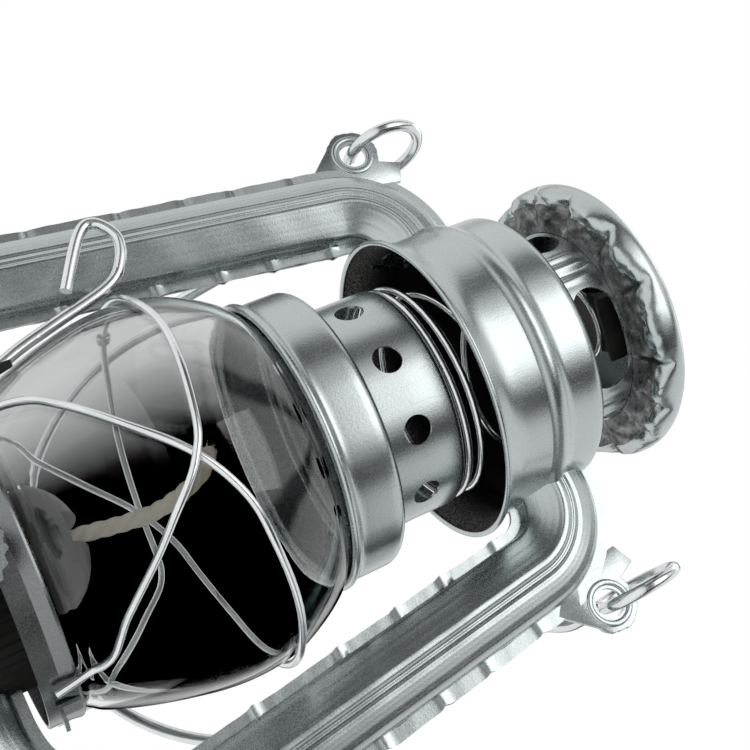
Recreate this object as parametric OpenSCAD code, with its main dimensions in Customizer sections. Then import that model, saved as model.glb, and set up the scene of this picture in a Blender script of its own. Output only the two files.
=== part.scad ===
// Tubular oil lantern: a tank, two pressed side tubes, a drum with a slotted hood, and a glass
// globe that a wire lever lifts against a coil spring. Z is up, the origin is the centre of the
// base, the side tubes lie in the XZ plane, and -Y is the side with the lever and the knob.

/* [Sheet and wire] */
// Thickness of the pressed sheet
sheet_t = 0.8; // [0.6:0.1:1.0]
// Thickness of each half of a side tube
tube_t = 0.6; // [0.5:0.1:0.9]
// Radius of the bail's wire
bail_wire_r = 1.45; // [1.2:0.05:1.5]
// Radius of the lift lever's wire
lever_wire_r = 1.3; // [1.1:0.1:1.4]
// Radius of the guard wires
guard_wire_r = 0.85; // [0.7:0.05:1]
// Radius of the spring's wire
spring_wire_r = 0.8; // [0.6:0.05:1]

/* [Tank] */
// Radius of the tank
tank_r = 58; // [56:1:64]
// Height of the tank's seat for the burner
tank_h = 57; // [55:1:62]
// Height of the tank's upright side
tank_side_h = 36; // [32:1:40]
// Height of the foot rim under the tank's floor
foot_h = 5; // [4:0.5:8]
// Distance of the filler neck from the middle
filler_out = 38; // [36:0.5:40]
// Direction of the filler neck
filler_az = 125; // [115:5:135]
// Outer radius of the filler neck
filler_r = 8.5; // [7:0.5:9]
// Height of the filler neck's mouth
filler_top = 64; // [63:1:66]

/* [Burner] */
// Radius of the ribbed chamber
chamber_r = 25; // [24:0.5:26]
// Height of the ribbed chamber
chamber_h = 30.6; // [29:0.2:33]
// Number of upright ribs round the chamber
chamber_ribs = 60; // [40:4:72]
// Radius of the burner dome
dome_r = 14; // [13:0.5:15]
// Height of the dome's top above the chamber
dome_rise = 17.9; // [15:0.1:19]
// Width of the flame slot
slot_w = 7; // [6:0.5:8]
// Radius of the rope wick
wick_r = 2.05; // [1.5:0.05:2.1]
// Radius of the wick wheel over its teeth
wheel_r = 5; // [4:0.25:5.5]
// Radius of the wick shaft
shaft_r = 1.5; // [1.2:0.1:1.8]
// Reach of the knob from the middle
knob_reach = 48; // [42:1:54]
// Radius of the knob
knob_r = 11; // [9:0.5:12]

/* [Globe] */
// Largest outer radius of the glass
globe_r = 42.8; // [42:0.1:43.2]
// Height of the glass
globe_h = 75.6; // [74:0.2:80]
// Thickness of the glass
glass_t = 2; // [1.5:0.1:2.5]
// Outer radius of the globe plate's rolled rim
plate_r = 34.3; // [34:0.1:35]
// Depth of the skirt under the globe plate
skirt_h = 4; // [3:0.5:5]

/* [Collar] */
// Outer radius of the band over the glass
band_r = 33.2; // [32.8:0.1:34]
// Height of the band with its bead
band_h = 13.9; // [12:0.1:15]
// Outer radius of the perforated collar
collar_r = 26.5; // [26:0.1:27.5]
// Height of the perforated collar
collar_h = 19; // [18:0.5:22]
// Number of air holes round the collar
collar_holes = 10; // [8:1:12]
// Radius of one air hole
collar_hole_r = 3.3; // [2.5:0.1:3.8]

/* [Drum and hood] */
// Gap between the collar's top and the drum's mouth
mouth_gap = 3.5; // [2:0.5:5]
// Radius of the drum's mouth
mouth_r = 37; // [36.6:0.1:38]
// Outer radius of the drum's lower wall
drum_low_r = 34.4; // [34:0.1:35]
// Outer radius of the drum's upper wall
drum_up_r = 33.5; // [33:0.1:33.8]
// Height of the drum's upright wall
drum_h = 30; // [29:0.5:33]
// Outer radius of the chimney neck
neck_r = 24.5; // [23:0.5:25]
// Height of the chimney neck
neck_h = 14.5; // [13.5:0.5:17]
// Height of one slot in the neck
neck_slot_h = 11; // [9:0.5:11.5]
// Angle that one slot covers
neck_slot_angle = 59; // [50:1:64]
// Radius of the hood's outer rim
hood_r = 35; // [34:0.5:37]
// Radius of the hood's rolled edge
hood_roll_r = 4.1; // [3.5:0.1:4.5]
// Number of wrinkles round the folded edge
hood_lobes = 14; // [10:1:18]

/* [Side tubes] */
// Width of a tube over its flanges
tube_w = 23.2; // [22:0.2:24]
// Depth of one pressed half
tube_depth = 7.5; // [6.5:0.1:8]
// Lean of the tubes from upright
tube_lean = 8; // [7.5:0.1:8.5]
// Distance of the tube's middle line from the axis at the drum's mouth
tube_out = 50.55; // [50.2:0.1:52]
// Radius of the upper bend on the middle line
bend_up_r = 16; // [15:0.5:17]
// Radius of the lower bend on the middle line
bend_low_r = 31.6; // [29:0.2:33]
// Width of the inner flange
flange_in_w = 2.3; // [2:0.1:2.6]
// Width of the outer flange
flange_out_w = 3; // [2.6:0.1:3.4]
// Height of the tube's upper end above the drum's mouth
tube_up = 17.2; // [17:0.1:17.6]
// Height of the tube's lower end above the tank
tube_low = 13; // [12.8:0.1:14]
// Distance of the lug's hole from the axis
lug_out = 63; // [62.6:0.1:63.4]
// Height of the lug's hole above the drum's mouth
lug_up = 16; // [15.6:0.1:16.4]
// Radius of the lug's ear
lug_r = 6.7; // [6.2:0.1:7]
// Radius of the lug's hole
lug_hole_r = 3.25; // [3.2:0.05:3.4]

/* [Bail] */
// Radius of a bail eye on its middle line
eye_r = 9.8; // [9.4:0.1:10.2]
// Distance of the eyes' middle behind the tubes
eye_back = 3; // [2:0.1:3.5]
// Half of the bail's width
bail_half_w = 55; // [54:0.5:58]
// Length of a leg from the eye's middle to the round of the bail
bail_leg = 75.3; // [70:0.1:82]
// Angle at which the bail rests behind the lantern
bail_rest = 25; // [20:1:30]
// Turn of each eye about its leg
eye_twist = 8; // [0:1:8]

/* [Lift lever] */
// Distance of the lever's plane in front of the middle
lever_front = 21; // [20.8:0.1:21.4]
// Distance of the lever's pivot from the middle
pivot_out = 29; // [28.8:0.1:29.4]
// Height of the lever's pivot above the tank
pivot_up = 23.5; // [23.2:0.1:24]
// Length of the lever's short arm
arm_l = 13; // [12.6:0.1:13.4]
// Angle of the short arm below level at rest
arm_drop = 20; // [18:1:22]

/* [Hidden] */
$fn = 64;

// Clearance between a shaft and its hole
running_gap = 0.06;
// Gap between pieces of different bodies that lie against each other
rest_gap = 0.2;
// Gap between two fixed pieces, one round the other
joint_gap = 0.05;
// How far a cut runs past what it cuts
over = 2;

// Heights that follow from the stack of pieces, from the base up
chamber_top = tank_h + chamber_h;
plate_z = chamber_top + rest_gap;
glass_z = plate_z + sheet_t + rest_gap;
glass_top = glass_z + globe_h;
band_top = glass_top + rest_gap + sheet_t;
collar_top = band_top + collar_h;
mouth_z = collar_top + mouth_gap;
neck_z = mouth_z + drum_h;
neck_top = neck_z + neck_h;
hood_roll_z = neck_top + hood_roll_r;
hood_roll_out = hood_r - hood_roll_r;

// Points along an arc round c from angle a0 to a1
function arc(c, r, a0, a1, n) = [for (i = [0:n]) c + r * [cos(a0 + (a1 - a0) * i / n), sin(a0 + (a1 - a0)
    * i / n)]];

// A unit vector, and the right-hand side of a path at one of its points
function unit(v) = v / norm(v);
function side(p, i) = let(
    a = i > 0 ? unit(p[i] - p[i - 1]) : unit(p[i + 1] - p[i]),
    b = i < len(p) - 1 ? unit(p[i + 1] - p[i]) : a,
    m = unit(a + b)) [m.y, -m.x] / (m * a);

// Closed outline of a sheet of thickness t to the right of a path
function sheet(p, t) = concat(p, [for (i = [len(p) - 1:-1:0]) p[i] + t * side(p, i)]);

// Smooth curve through the points p, with n steps between two of them
function curve_at(a, b, c, d, t) = 0.5 * (2 * b + (c - a) * t + (2 * a - 5 * b + 4 * c - d) * t * t
    + (3 * b - a - 3 * c + d) * t * t * t);
function smooth(p, n) = concat([for (i = [0:len(p) - 2]) for (k = [0:n - 1])
    curve_at(p[max(i - 1, 0)], p[i], p[i + 1], p[min(i + 2, len(p) - 1)], k / n)], [p[len(p) - 1]]);

// Sheet metal turned from a path of [radius, height] points; a negative t lies on the left
module spun(p, t) { rotate_extrude() polygon(sheet(p, t)); }

// Solid of revolution under a path
module spun_solid(p) { rotate_extrude() polygon(concat([[0, p[0].y]], p, [[0, p[len(p) - 1].y]])); }

// Round bend in n steps at corner p, where the wire comes from a and goes on to b
function fillet(a, p, b, radius, n) = let(
    ua = unit(a - p),
    ub = unit(b - p),
    turn = 180 - acos(ua * ub),
    c = p + unit(ua + ub) * radius / cos(turn / 2),
    e = unit(p + ua * radius * tan(turn / 2) - c)) [for (k = [0:n]) c + radius * (e * cos(turn * k / n)
        - ua * sin(turn * k / n))];
function rounded(p, radius, n) = concat([p[0]],
    [for (i = [1:len(p) - 2]) each fillet(p[i - 1], p[i], p[i + 1], radius, n)], [p[len(p) - 1]]);

// Wire of radius r along the points p, as one closed tube; the rings don't twist
function flat_to(u, t) = unit(u - (u * t) * t);
module swept(p, r, sides) {
    n = len(p);
    t = [for (i = [0:n - 1]) unit(p[min(i + 1, n - 1)] - p[max(i - 1, 0)])];
    any = abs(t[0].z) > 0.9 ? [1, 0, 0] : [0, 0, 1];
    u = [for (i = 0, v = flat_to(any, t[0]); i < n; i = i + 1, v = i < n ? flat_to(v, t[i]) : v) v];
    points = [for (i = [0:n - 1]) for (k = [0:sides - 1])
        p[i] + r * (u[i] * cos(360 * k / sides) + cross(t[i], u[i]) * sin(360 * k / sides))];
    faces = concat(
        [for (i = [0:n - 2]) for (k = [0:sides - 1]) let(a = i * sides, b = a + sides, m = (k + 1)
            % sides)
            each [[a + k, b + m, a + m], [a + k, b + k, b + m]]],
        [[for (k = [0:sides - 1]) k]], [[for (k = [sides - 1:-1:0]) (n - 1) * sides + k]]);
    polyhedron(points, faces);
}

// Tank
floor_z = foot_h + sheet_t;
foot_r = tank_r - 2 * sheet_t;
shoulder_r = 9;
bead_out = 0.8;
bead_h = 2.4;
seat_r = chamber_r + sheet_t;
thread_r = 12;
tank_path = concat(
    [[foot_r, sheet_t], [foot_r, foot_h], [tank_r, foot_h + shoulder_r / 3], [tank_r,
        foot_h + shoulder_r / 2]],
    arc([tank_r, foot_h + shoulder_r / 2 + bead_h / 2], bead_h / 2, -80, 80, 4),
    [[tank_r, foot_h + shoulder_r / 2 + bead_h]],
    [[tank_r, tank_side_h - bead_h]],
    arc([tank_r - shoulder_r, tank_side_h], shoulder_r, 0, 62, 6),
    smooth([[tank_r - shoulder_r * 0.8, tank_side_h + shoulder_r * 0.96], [filler_out,
        tank_h - shoulder_r * 0.62],
        [seat_r + shoulder_r / 3, tank_h - shoulder_r * 0.18], [seat_r, tank_h]], 3),
    [[thread_r, tank_h]]);

// Chimney, drum and hood
lip_h = 3.1;
lip_roll = 0.9;
step_z = 15.2;
step_h = 3.4;
drum_round = 3;
drum_path = [for (q = concat(
    [[mouth_r - 2 * lip_roll, 0]],
    arc([mouth_r - lip_roll, lip_roll], lip_roll, -90, 0, 3),
    arc([mouth_r - lip_roll, lip_h - lip_roll], lip_roll * 0.7, 20, 80, 2),
    [[drum_low_r + lip_roll, lip_h + lip_roll / 3], [drum_low_r, lip_h + lip_roll * 1.6], [drum_low_r,
        step_z]],
    arc([drum_low_r - lip_roll / 4, step_z + step_h / 2], step_h / 4, -60, 60, 4),
    [[drum_up_r, step_z + step_h], [drum_up_r, drum_h - drum_round]],
    arc([drum_up_r - drum_round, drum_h - drum_round], drum_round, 10, 80, 4),
    [[neck_r + 4 * joint_gap, drum_h + lip_roll]])) q + [0, mouth_z]];

// Side tube in its own plane: corners, bends and the pressed section. The section's shares are of
// the width between the flanges, from its middle, and of the depth
tube_top_z = mouth_z + tube_up;
tube_low_z = tank_h + tube_low;
corner_up = [tube_out - tan(tube_lean) * tube_up, tube_top_z];
corner_low = [tube_out + tan(tube_lean) * (mouth_z - tube_low_z), tube_low_z];
start_up = corner_up.x - bend_up_r * tan((90 - tube_lean) / 2);
start_low = corner_low.x - bend_low_r * tan((90 + tube_lean) / 2);
centre_up = [start_up, tube_top_z - bend_up_r];
centre_low = [start_low, tube_low_z + bend_low_r];
section_w = tube_w - flange_in_w - flange_out_w;
section_mid = (flange_in_w - flange_out_w) / 2;
section_shares = [[-0.5, 0], [-0.49, 0.3], [-0.46, 0.62], [-0.39, 0.88], [-0.29, 1], [-0.17, 0.95],
    [-0.08, 0.82],
    [-0.02, 0.8], [0.03, 0.86], [0.08, 0.77], [0.13, 0.82], [0.18, 0.73], [0.25, 0.69], [0.38, 0.64],
        [0.46, 0.5],
    [0.49, 0.26], [0.5, 0]];
tube_path = concat([[-tube_w / 2, tube_t]],
    [for (s = section_shares) [section_mid + s.x * section_w, tube_t + s.y * (tube_depth - tube_t)]],
    [[tube_w / 2, tube_t]]);
tube_bore = [for (i = [1:len(tube_path) - 2]) tube_path[i] + tube_t * side(tube_path, i)];

// Lug, bail and lever places
lug = [lug_out, mouth_z + lug_up];
eye_z = lug.y + sqrt(eye_r * eye_r - eye_back * eye_back) + rest_gap;
eye_out = lug_out - rest_gap;
pivot = [-pivot_out, tank_h + pivot_up];
lever_turn = 2.25 * arm_drop;
lever_lift = arm_l * (sin(lever_turn - arm_drop) + sin(arm_drop));
arm_tip = pivot + arm_l * [cos(arm_drop), -sin(arm_drop)];
wheel_x = wick_r + wheel_r + rest_gap;
shaft_up = 19;
shaft_z = tank_h + shaft_up;
echo(mouth_z = mouth_z, eye_z = eye_z, lever_lift = lever_lift, pivot = pivot, arm_tip = arm_tip,
    lug = lug, top = hood_roll_z + hood_roll_r);
echo(wheel_x = wheel_x, shaft_z = shaft_z, plate_z = plate_z, glass_z = glass_z, band_top = band_top,
    collar_top = collar_top);

// Pressed bottom with the foot rim on which the lantern stands
module tank_base() {
    a = foot_r - sheet_t - joint_gap;
    color("lightgray") spun([[0, floor_z], [a - foot_h / 2, floor_z], [a, floor_z - foot_h / 2], [a,
        sheet_t], [foot_r, sheet_t]], sheet_t);
}

// Round tank with a bead, a rounded shoulder and a low dome
module tank_shell() {
    color("lightgray") difference() {
        spun(tank_path, -sheet_t);
        filler_axis() cylinder(h = filler_top, r = filler_r);
    }
}

// Frame on the filler neck's axis
module filler_axis() { rotate(filler_az) translate([filler_out, 0, 0]) children(); }

// Neck with a rolled thread that the cap screws on
neck_drop = 16;
thread_pitch = 3;
thread_out = 0.6;
module filler_neck() {
    color("lightgray") filler_axis() translate([0, 0, filler_top - neck_drop]) difference() {
        union() {
            cylinder(h = neck_drop, r = filler_r);
            for (i = [1:2]) translate([0, 0, neck_drop - i * thread_pitch]) rotate_extrude()
                polygon([[filler_r - thread_out, -thread_out], [filler_r + thread_out, 0],
                    [filler_r - thread_out, thread_out]]);
        }
        translate([0, 0, -over]) cylinder(h = neck_drop + 2 * over, r = filler_r - 2 * sheet_t);
    }
}

// Knurled cap and its washer
cap_r = filler_r + thread_out + running_gap * 5 + 2 * sheet_t;
cap_h = 9;
cap_flutes = 36;
gasket_t = 1.2;
module filler_cap() {
    color("silver") filler_axis() translate([0, 0, filler_top + gasket_t + sheet_t - cap_h + rest_gap])
        difference() {
        union() {
            linear_extrude(cap_h) polygon([for (i = [0:2 * cap_flutes - 1])
                (cap_r - (i % 2) * sheet_t / 2) * [cos(i * 180 / cap_flutes),
                    sin(i * 180 / cap_flutes)]]);
            cylinder(h = cap_h + sheet_t, r = cap_r - 2 * sheet_t);
        }
        translate([0, 0, -over]) cylinder(h = cap_h - sheet_t + over, r = cap_r - 2 * sheet_t);
    }
}
module cap_gasket() {
    color("dimgray") filler_axis() translate([0, 0, filler_top + rest_gap / 2]) difference() {
        cylinder(h = gasket_t, r = filler_r);
        translate([0, 0, -over]) cylinder(h = gasket_t + 2 * over, r = filler_r - 3 * sheet_t);
    }
}

// Ribbed air chamber under the globe, open at the top, with a window for each tube
module burner_chamber() {
    color("dimgray") difference() {
        translate([0, 0, tank_h]) linear_extrude(chamber_h) polygon([for (i = [0:2 * chamber_ribs - 1])
            (chamber_r - (i % 2) * sheet_t) * [cos(i * 180 / chamber_ribs),
                sin(i * 180 / chamber_ribs)]]);
        translate([0, 0, tank_h - over]) cylinder(h = chamber_h + 2 * over, r = chamber_r - 2 * sheet_t,
            $fn = 128);
        both_sides() tube_stub(chamber_r - over - 2 * sheet_t, chamber_r + over, tube_low_z)
            tube_outline();
        shaft_line() cylinder(h = chamber_r + over, r = shaft_r + running_gap);
    }
}

// Frame on the wick shaft's axis, running out to the knob
module shaft_line() { translate([wheel_x, 0, shaft_z]) rotate([90, 0, 0]) children(); }

// Burner body that screws into the tank and carries the wick tube, the shaft and the dome
cup_r = dome_r - sheet_t - joint_gap;
cup_top = chamber_top - 2 * sheet_t;
bearing_l = 4;
module burner_cup() {
    color("slategray") difference() {
        union() {
            spun([[wick_bore_r + sheet_t + joint_gap, tank_h], [cup_r, tank_h], [cup_r, cup_top]],
                -sheet_t);
            translate([0, 0, tank_h + rest_gap / 2]) cylinder(h = sheet_t, r = cup_r + 4 * sheet_t);
            translate([0, 0, tank_h - 3 * thread_pitch]) cylinder(h = 3 * thread_pitch + sheet_t,
                r = thread_r - joint_gap);
            shaft_line() translate([0, 0, cup_r - bearing_l * 0.8]) cylinder(h = bearing_l,
                r = shaft_r + sheet_t);
        }
        translate([0, 0, tank_h - 3 * thread_pitch - over]) cylinder(h = 3 * thread_pitch + over,
            r = thread_r - 2 * sheet_t);
        translate([0, 0, tank_h - over]) cylinder(h = 2 * over, r = wick_bore_r + sheet_t + joint_gap);
        translate([0, 0, tank_h + sheet_t]) cylinder(h = chamber_h, r = cup_r - sheet_t);
        shaft_line() cylinder(h = cup_r + bearing_l, r = shaft_r + running_gap);
    }
}

// Round tube for the rope wick, with a window for the wheel's teeth
wick_bore_r = wick_r + 2 * rest_gap;
wick_tube_top = chamber_top + dome_rise - slot_w * 0.9;
module wick_tube() {
    color("slategray") difference() {
        translate([0, 0, tank_h - neck_drop / 2]) cylinder(h = wick_tube_top - tank_h + neck_drop / 2,
            r = wick_bore_r + sheet_t);
        translate([0, 0, tank_h - neck_drop]) cylinder(h = wick_tube_top, r = wick_bore_r);
        translate([wick_r / 2, -wheel_w, shaft_z - wheel_r - rest_gap])
            cube([wheel_r, 2 * wheel_w, 2 * (wheel_r + rest_gap)]);
    }
}

// Dark dome with the flame slot and a ring of air holes
dome_holes = 16;
dome_hole_r = 1.1;
dome_skirt_z = cup_top - 4 * sheet_t;
dome_top = chamber_top + dome_rise;
module burner_dome() {
    color("dimgray") difference() {
        spun(concat([[dome_r, dome_skirt_z], [dome_r, dome_top - dome_r * 0.72]],
            [for (a = [10:12:70]) [dome_r * cos(a), dome_top - dome_r * 0.72 * (1 - sin(a))]],
            [[dome_r * 0.1, dome_top], [0, dome_top]]), -sheet_t);
        translate([-slot_w / 2, -dome_r - over, dome_top - slot_w * 0.57]) cube([slot_w,
            2 * (dome_r + over), slot_w]);
        for (i = [0:dome_holes - 1]) rotate(i * 360 / dome_holes) translate([0, 0,
            dome_skirt_z + 3 * dome_hole_r])
            rotate([0, 90, 0]) cylinder(h = dome_r + over, r = dome_hole_r);
    }
}

// Pressed tube section along the tube's path, one half, in the plane of the tubes
module tube_outline() { polygon(concat(tube_path, [for (i = [len(tube_path) - 1:-1:0]) [tube_path[i].x,
    -tube_path[i].y]])); }
module tube_inside() { polygon(concat(tube_bore, [for (i = [len(tube_bore) - 1:-1:0]) [tube_bore[i].x,
    -tube_bore[i].y]])); }

// Level piece of tube from x0 to x1 at height z: the section's u axis points away from the bend.
// At the top the outer flange is uppermost, at the bottom it is lowest
module tube_stub(x0, x1, z) {
    s = z > tube_low_z + tube_w ? 1 : -1;
    multmatrix([[0, 0, s, s > 0 ? x0 : x1], [0, -1, 0, 0], [s, 0, 0, z], [0, 0, 0, 1]])
        linear_extrude(x1 - x0) children();
}
module both_sides() {
    children();
    mirror([1, 0, 0]) children();
}

// Stations along a tube from the chamber to the drum: place of the middle line, and the direction
// of the outer flange
low_steps = 10;
up_steps = 8;
tube_stations = concat([[chamber_r - 2 * sheet_t, tube_low_z, -90]],
    [for (i = [0:low_steps]) let(a = -90 + (90 + tube_lean) * i / low_steps)
        [centre_low.x + bend_low_r * cos(a), centre_low.y + bend_low_r * sin(a), a]],
    [for (i = [0:up_steps]) let(a = tube_lean + (90 - tube_lean) * i / up_steps)
        [centre_up.x + bend_up_r * cos(a), centre_up.y + bend_up_r * sin(a), a]],
    [[neck_r, tube_top_z, 90]]);

// Section swept along the stations, v towards the front
module tube_sweep(section) {
    m = len(section);
    n = len(tube_stations);
    polyhedron([for (c = tube_stations) for (q = section) [c.x + q.x * cos(c.z), -q.y,
        c.y + q.x * sin(c.z)]],
        concat([for (i = [0:n - 2]) for (k = [0:m - 1]) let(a = i * m, b = a + m, l = (k + 1) % m)
            each [[a + k, b + l, a + l], [a + k, b + k, b + l]]],
            [[for (k = [0:m - 1]) k]], [[for (k = [m - 1:-1:0]) (n - 1) * m + k]]));
}

// One pressed half with its bends, seen from the front and right
module tube_half() {
    difference() {
        union() {
            tube_sweep(sheet(tube_path, tube_t));
            rotate([90, 0, 0]) lug_sheet();
        }
        spun_solid(drum_path);
        translate([0, 0, tank_h]) cylinder(h = chamber_h, r = chamber_r);
        translate([lug.x, over, lug.y]) rotate([90, 0, 0]) cylinder(h = 2 * over, r = lug_hole_r);
    }
}

// Ear for the bail: the outer flange drawn out round the hole, with a pressed ring
ear_low_angle = 8;
ear_high_angle = 56;
ear_base_r = bend_up_r + tube_w / 2 - flange_out_w * 0.6;
ring_out = 1.7;
module lug_sheet() {
    linear_extrude(tube_t) {
        translate(lug) circle(lug_r);
        polygon(concat(arc(centre_up, ear_base_r, ear_high_angle, ear_low_angle, 6), arc(lug, lug_r, -44,
            112, 12)));
    }
    translate([lug.x, lug.y, tube_t]) cylinder(h = tube_t / 2, r = lug_hole_r + ring_out);
}
module tube_right_front() { color("silver") tube_half(); }
module tube_right_rear() { color("silver") mirror([0, 1, 0]) tube_half(); }
module tube_left_front() { color("silver") mirror([1, 0, 0]) tube_half(); }
module tube_left_rear() { color("silver") mirror([1, 0, 0]) mirror([0, 1, 0]) tube_half(); }

// Drum with a rolled mouth, a ridge, a rounded shoulder and a window for each tube
module drum_shell() {
    color("silver") difference() {
        spun(drum_path, -sheet_t);
        both_sides() tube_stub(neck_r, drum_low_r + over, tube_top_z) tube_inside();
    }
}

// Slotted neck of the chimney: four long slots, with two pressed ribs on each column
neck_slot_az = -61.5;
slot_z = neck_z + neck_h / 2 + sheet_t;
rib_r = 0.9;
rib_h = 9;
rib_angle = 7;
module neck_slot() {
    r = neck_slot_h / 2;
    half = neck_r * sin(neck_slot_angle / 2) - r;
    depth = neck_r * (1 - cos(neck_slot_angle / 2)) + 2 * over;
    translate([neck_r + over - depth, 0, 0]) rotate([90, 0, 90]) linear_extrude(depth)
        polygon(concat(arc([half, 0], r, -90, 90, 12), arc([-half, 0], r, 90, 270, 12)));
}
module hood_neck() {
    color("silver") difference() {
        union() {
            translate([0, 0, neck_z - sheet_t]) cylinder(h = neck_h + sheet_t, r = neck_r);
            for (i = [0:3]) for (s = [-1, 1]) rotate(neck_slot_az + 45 + 90 * i + s * rib_angle)
                translate([neck_r - rib_r / 3, 0, slot_z - rib_h / 2]) cylinder(h = rib_h, r = rib_r);
        }
        translate([0, 0, neck_z - over]) cylinder(h = neck_h + 2 * over, r = neck_r - sheet_t);
        for (i = [0:3]) rotate(neck_slot_az + 90 * i) translate([0, 0, slot_z]) neck_slot();
    }
}

// Hood: a low cap whose rim rolls round and folds back to the neck in wrinkles. Each point of the
// path has its own share of the wrinkles' height, and the edge dips between the lobes
hood_top_drop = 1;
wrinkle_h = 1.5;
hood_steps = 4;
hood_inner_r = neck_r + rest_gap / 4;
hood_path = concat(
    [[hood_roll_out * 0.1, hood_roll_z + hood_roll_r], [hood_roll_out * 0.5,
        hood_roll_z + hood_roll_r - hood_top_drop / 4],
        [hood_roll_out * 0.8, hood_roll_z + hood_roll_r - hood_top_drop]],
    arc([hood_roll_out, hood_roll_z], hood_roll_r, 90, -48, 8),
    [for (s = [0.3:0.233:1]) let(e = [hood_roll_out + hood_roll_r * cos(48),
        hood_roll_z - hood_roll_r * sin(48)])
        e * (1 - s) + [hood_inner_r, neck_top - sheet_t / 2] * s]);
hood_wave_shares = concat([for (i = [0:9]) 0], [0.15, 0.5, 0.9, 1, 0.7, 0]);
module hood_cap() {
    n = len(hood_path);
    steps = hood_lobes * hood_steps;
    function wavy(i, j) = let(a = 360 * j / steps, w = cos(360 * j / hood_steps)
        * wrinkle_h * hood_wave_shares[i],
        q = hood_path[i]) [q.x + w * 0.3, q.y + w * 0.6];
    function inner(i) = hood_path[i] + sheet_t * side(hood_path, i);
    points = [for (j = [0:steps - 1]) let(a = 360 * j / steps) each concat(
        [for (i = [0:n - 1]) let(q = wavy(i, j)) [q.x * cos(a), q.x * sin(a), q.y]],
        [for (i = [n - 1:-1:0]) let(q = inner(i) + wavy(i, j) - hood_path[i]) [max(q.x,
            hood_inner_r * (i > n - 2 ? 1 : 0)) * cos(a),
            max(q.x, hood_inner_r * (i > n - 2 ? 1 : 0)) * sin(a), q.y]])];
    m = 2 * n;
    faces = [for (j = [0:steps - 1]) for (i = [0:m - 1]) let(k = (j + 1) % steps, l = (i + 1) % m)
        each [[j * m + i, k * m + l, j * m + l], [j * m + i, k * m + i, k * m + l]]];
    color("silver") {
        polyhedron(points, faces);
        translate([0, 0, hood_roll_z + hood_roll_r - 1.2 * sheet_t]) cylinder(h = sheet_t * 1.5,
            r = hood_roll_out * 0.15);
    }
}

// Strap under the hood that the spring bears on, with a turned-down tab at each end
strap_w = 15;
strap_out = 18;
strap_z = hood_roll_z - sheet_t;
tab_h = 5.5;
module spring_strap() {
    color("gray") rotate(neck_slot_az) {
        translate([-strap_out, -strap_w / 2, strap_z]) cube([2 * strap_out, strap_w, sheet_t]);
        for (x = [-strap_out, strap_out - sheet_t]) translate([x, -strap_w / 2, strap_z - tab_h])
            cube([sheet_t, strap_w, tab_h]);
        translate([0, 0, strap_z]) cylinder(h = hood_roll_r - 2 * rest_gap, r = hood_roll_out * 0.1);
    }
}

// Cone-shaped compression spring between the collar and the strap, one unbroken wire
spring_turns = 5;
spring_low_r = collar_r - 3 * sheet_t / 2;
spring_top_r = 9;
spring_z0 = collar_top + spring_wire_r + rest_gap / 2;
spring_z1 = strap_z - spring_wire_r - rest_gap / 2;
spring_steps = 16;
function spring_point(i) = let(s = i / (spring_turns * spring_steps), lift = max(0, min(1,
    (s * spring_turns - 0.75) / (spring_turns - 1.5))),
    r = spring_low_r + (spring_top_r - spring_low_r) * lift) [r * cos(360 * i / spring_steps + 90),
        r * sin(360 * i / spring_steps + 90),
    spring_z0 + (spring_z1 - spring_z0) * lift];
module collar_spring() {
    p = [for (i = [0:spring_turns * spring_steps]) spring_point(i)];
    color("gainsboro") swept(p, spring_wire_r, 6);
}

// Clevis for the lever: two ears bent up from a foot on the tank's dome
ear_gap = lever_wire_r + rest_gap;
bracket_foot_z = tank_h - shoulder_r * 0.86;
bracket_web_z = tank_h - 2 * sheet_t;
bracket_half = 4;
bracket_up = 14.5;
bracket_top = glass_z + bracket_up;
pin_r = 1;
module bracket_ear(top, lean) {
    linear_extrude(sheet_t) polygon([[pivot.x - bracket_half, bracket_foot_z], [pivot.x + bracket_half,
        bracket_foot_z],
        [pivot.x + bracket_half * 0.6, pivot.y + bracket_half * 0.6], [pivot.x + lean, top],
        [pivot.x - bracket_half, top]]);
}
module lever_bracket() {
    color("dimgray") difference() {
        union() {
            translate([0, ear_gap - lever_front + sheet_t, 0]) rotate([90, 0, 0])
                bracket_ear(min(pivot.y + bracket_half, plate_z - skirt_h - 2 * rest_gap), bracket_half / 2);
            translate([0, -ear_gap - lever_front, 0]) rotate([90, 0, 0]) bracket_ear(bracket_top,
                -bracket_half * 0.65);
            translate([pivot.x - bracket_half, -lever_front - ear_gap - sheet_t, bracket_web_z])
                cube([2 * bracket_half, 2 * (ear_gap + sheet_t), sheet_t]);
        }
        spun_solid(tank_path);
        translate([pivot.x, over - lever_front + ear_gap, pivot.y]) rotate([90, 0, 0])
            cylinder(h = 2 * (ear_gap + 2 * over), r = pin_r);
    }
}
module lever_pin() {
    color("gray") translate([pivot.x, ear_gap - lever_front + 2 * sheet_t, pivot.y]) rotate([90, 0, 0])
        cylinder(h = 2 * (ear_gap + 2 * sheet_t), r = pin_r);
}

// Globe plate with a rolled rim, a skirt and rings of air holes
plate_hole_r = dome_r + 3 * rest_gap;
rim_r = 0.9;
air_hole_r = 1.3;
air_holes = 24;
module globe_plate() {
    color("silver") difference() {
        union() {
            spun(concat([[plate_hole_r, plate_z], [plate_r - 2 * rim_r, plate_z]],
                arc([plate_r - rim_r, plate_z + 3 * rim_r], rim_r, 0, 150, 5)), -sheet_t);
            spun([[plate_r - rim_r / 2, plate_z - skirt_h], [plate_r - rim_r / 2, plate_z], [plate_r,
                plate_z + 3 * rim_r]], -sheet_t);
        }
        for (row = [0, 1]) for (i = [0:air_holes - 1]) rotate((i + row / 2) * 360 / air_holes)
            translate([plate_hole_r + (2 + 2.6 * row) * 2 * air_hole_r, 0, plate_z - over])
                cylinder(h = 2 * over, r = air_hole_r);
    }
}

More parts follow.
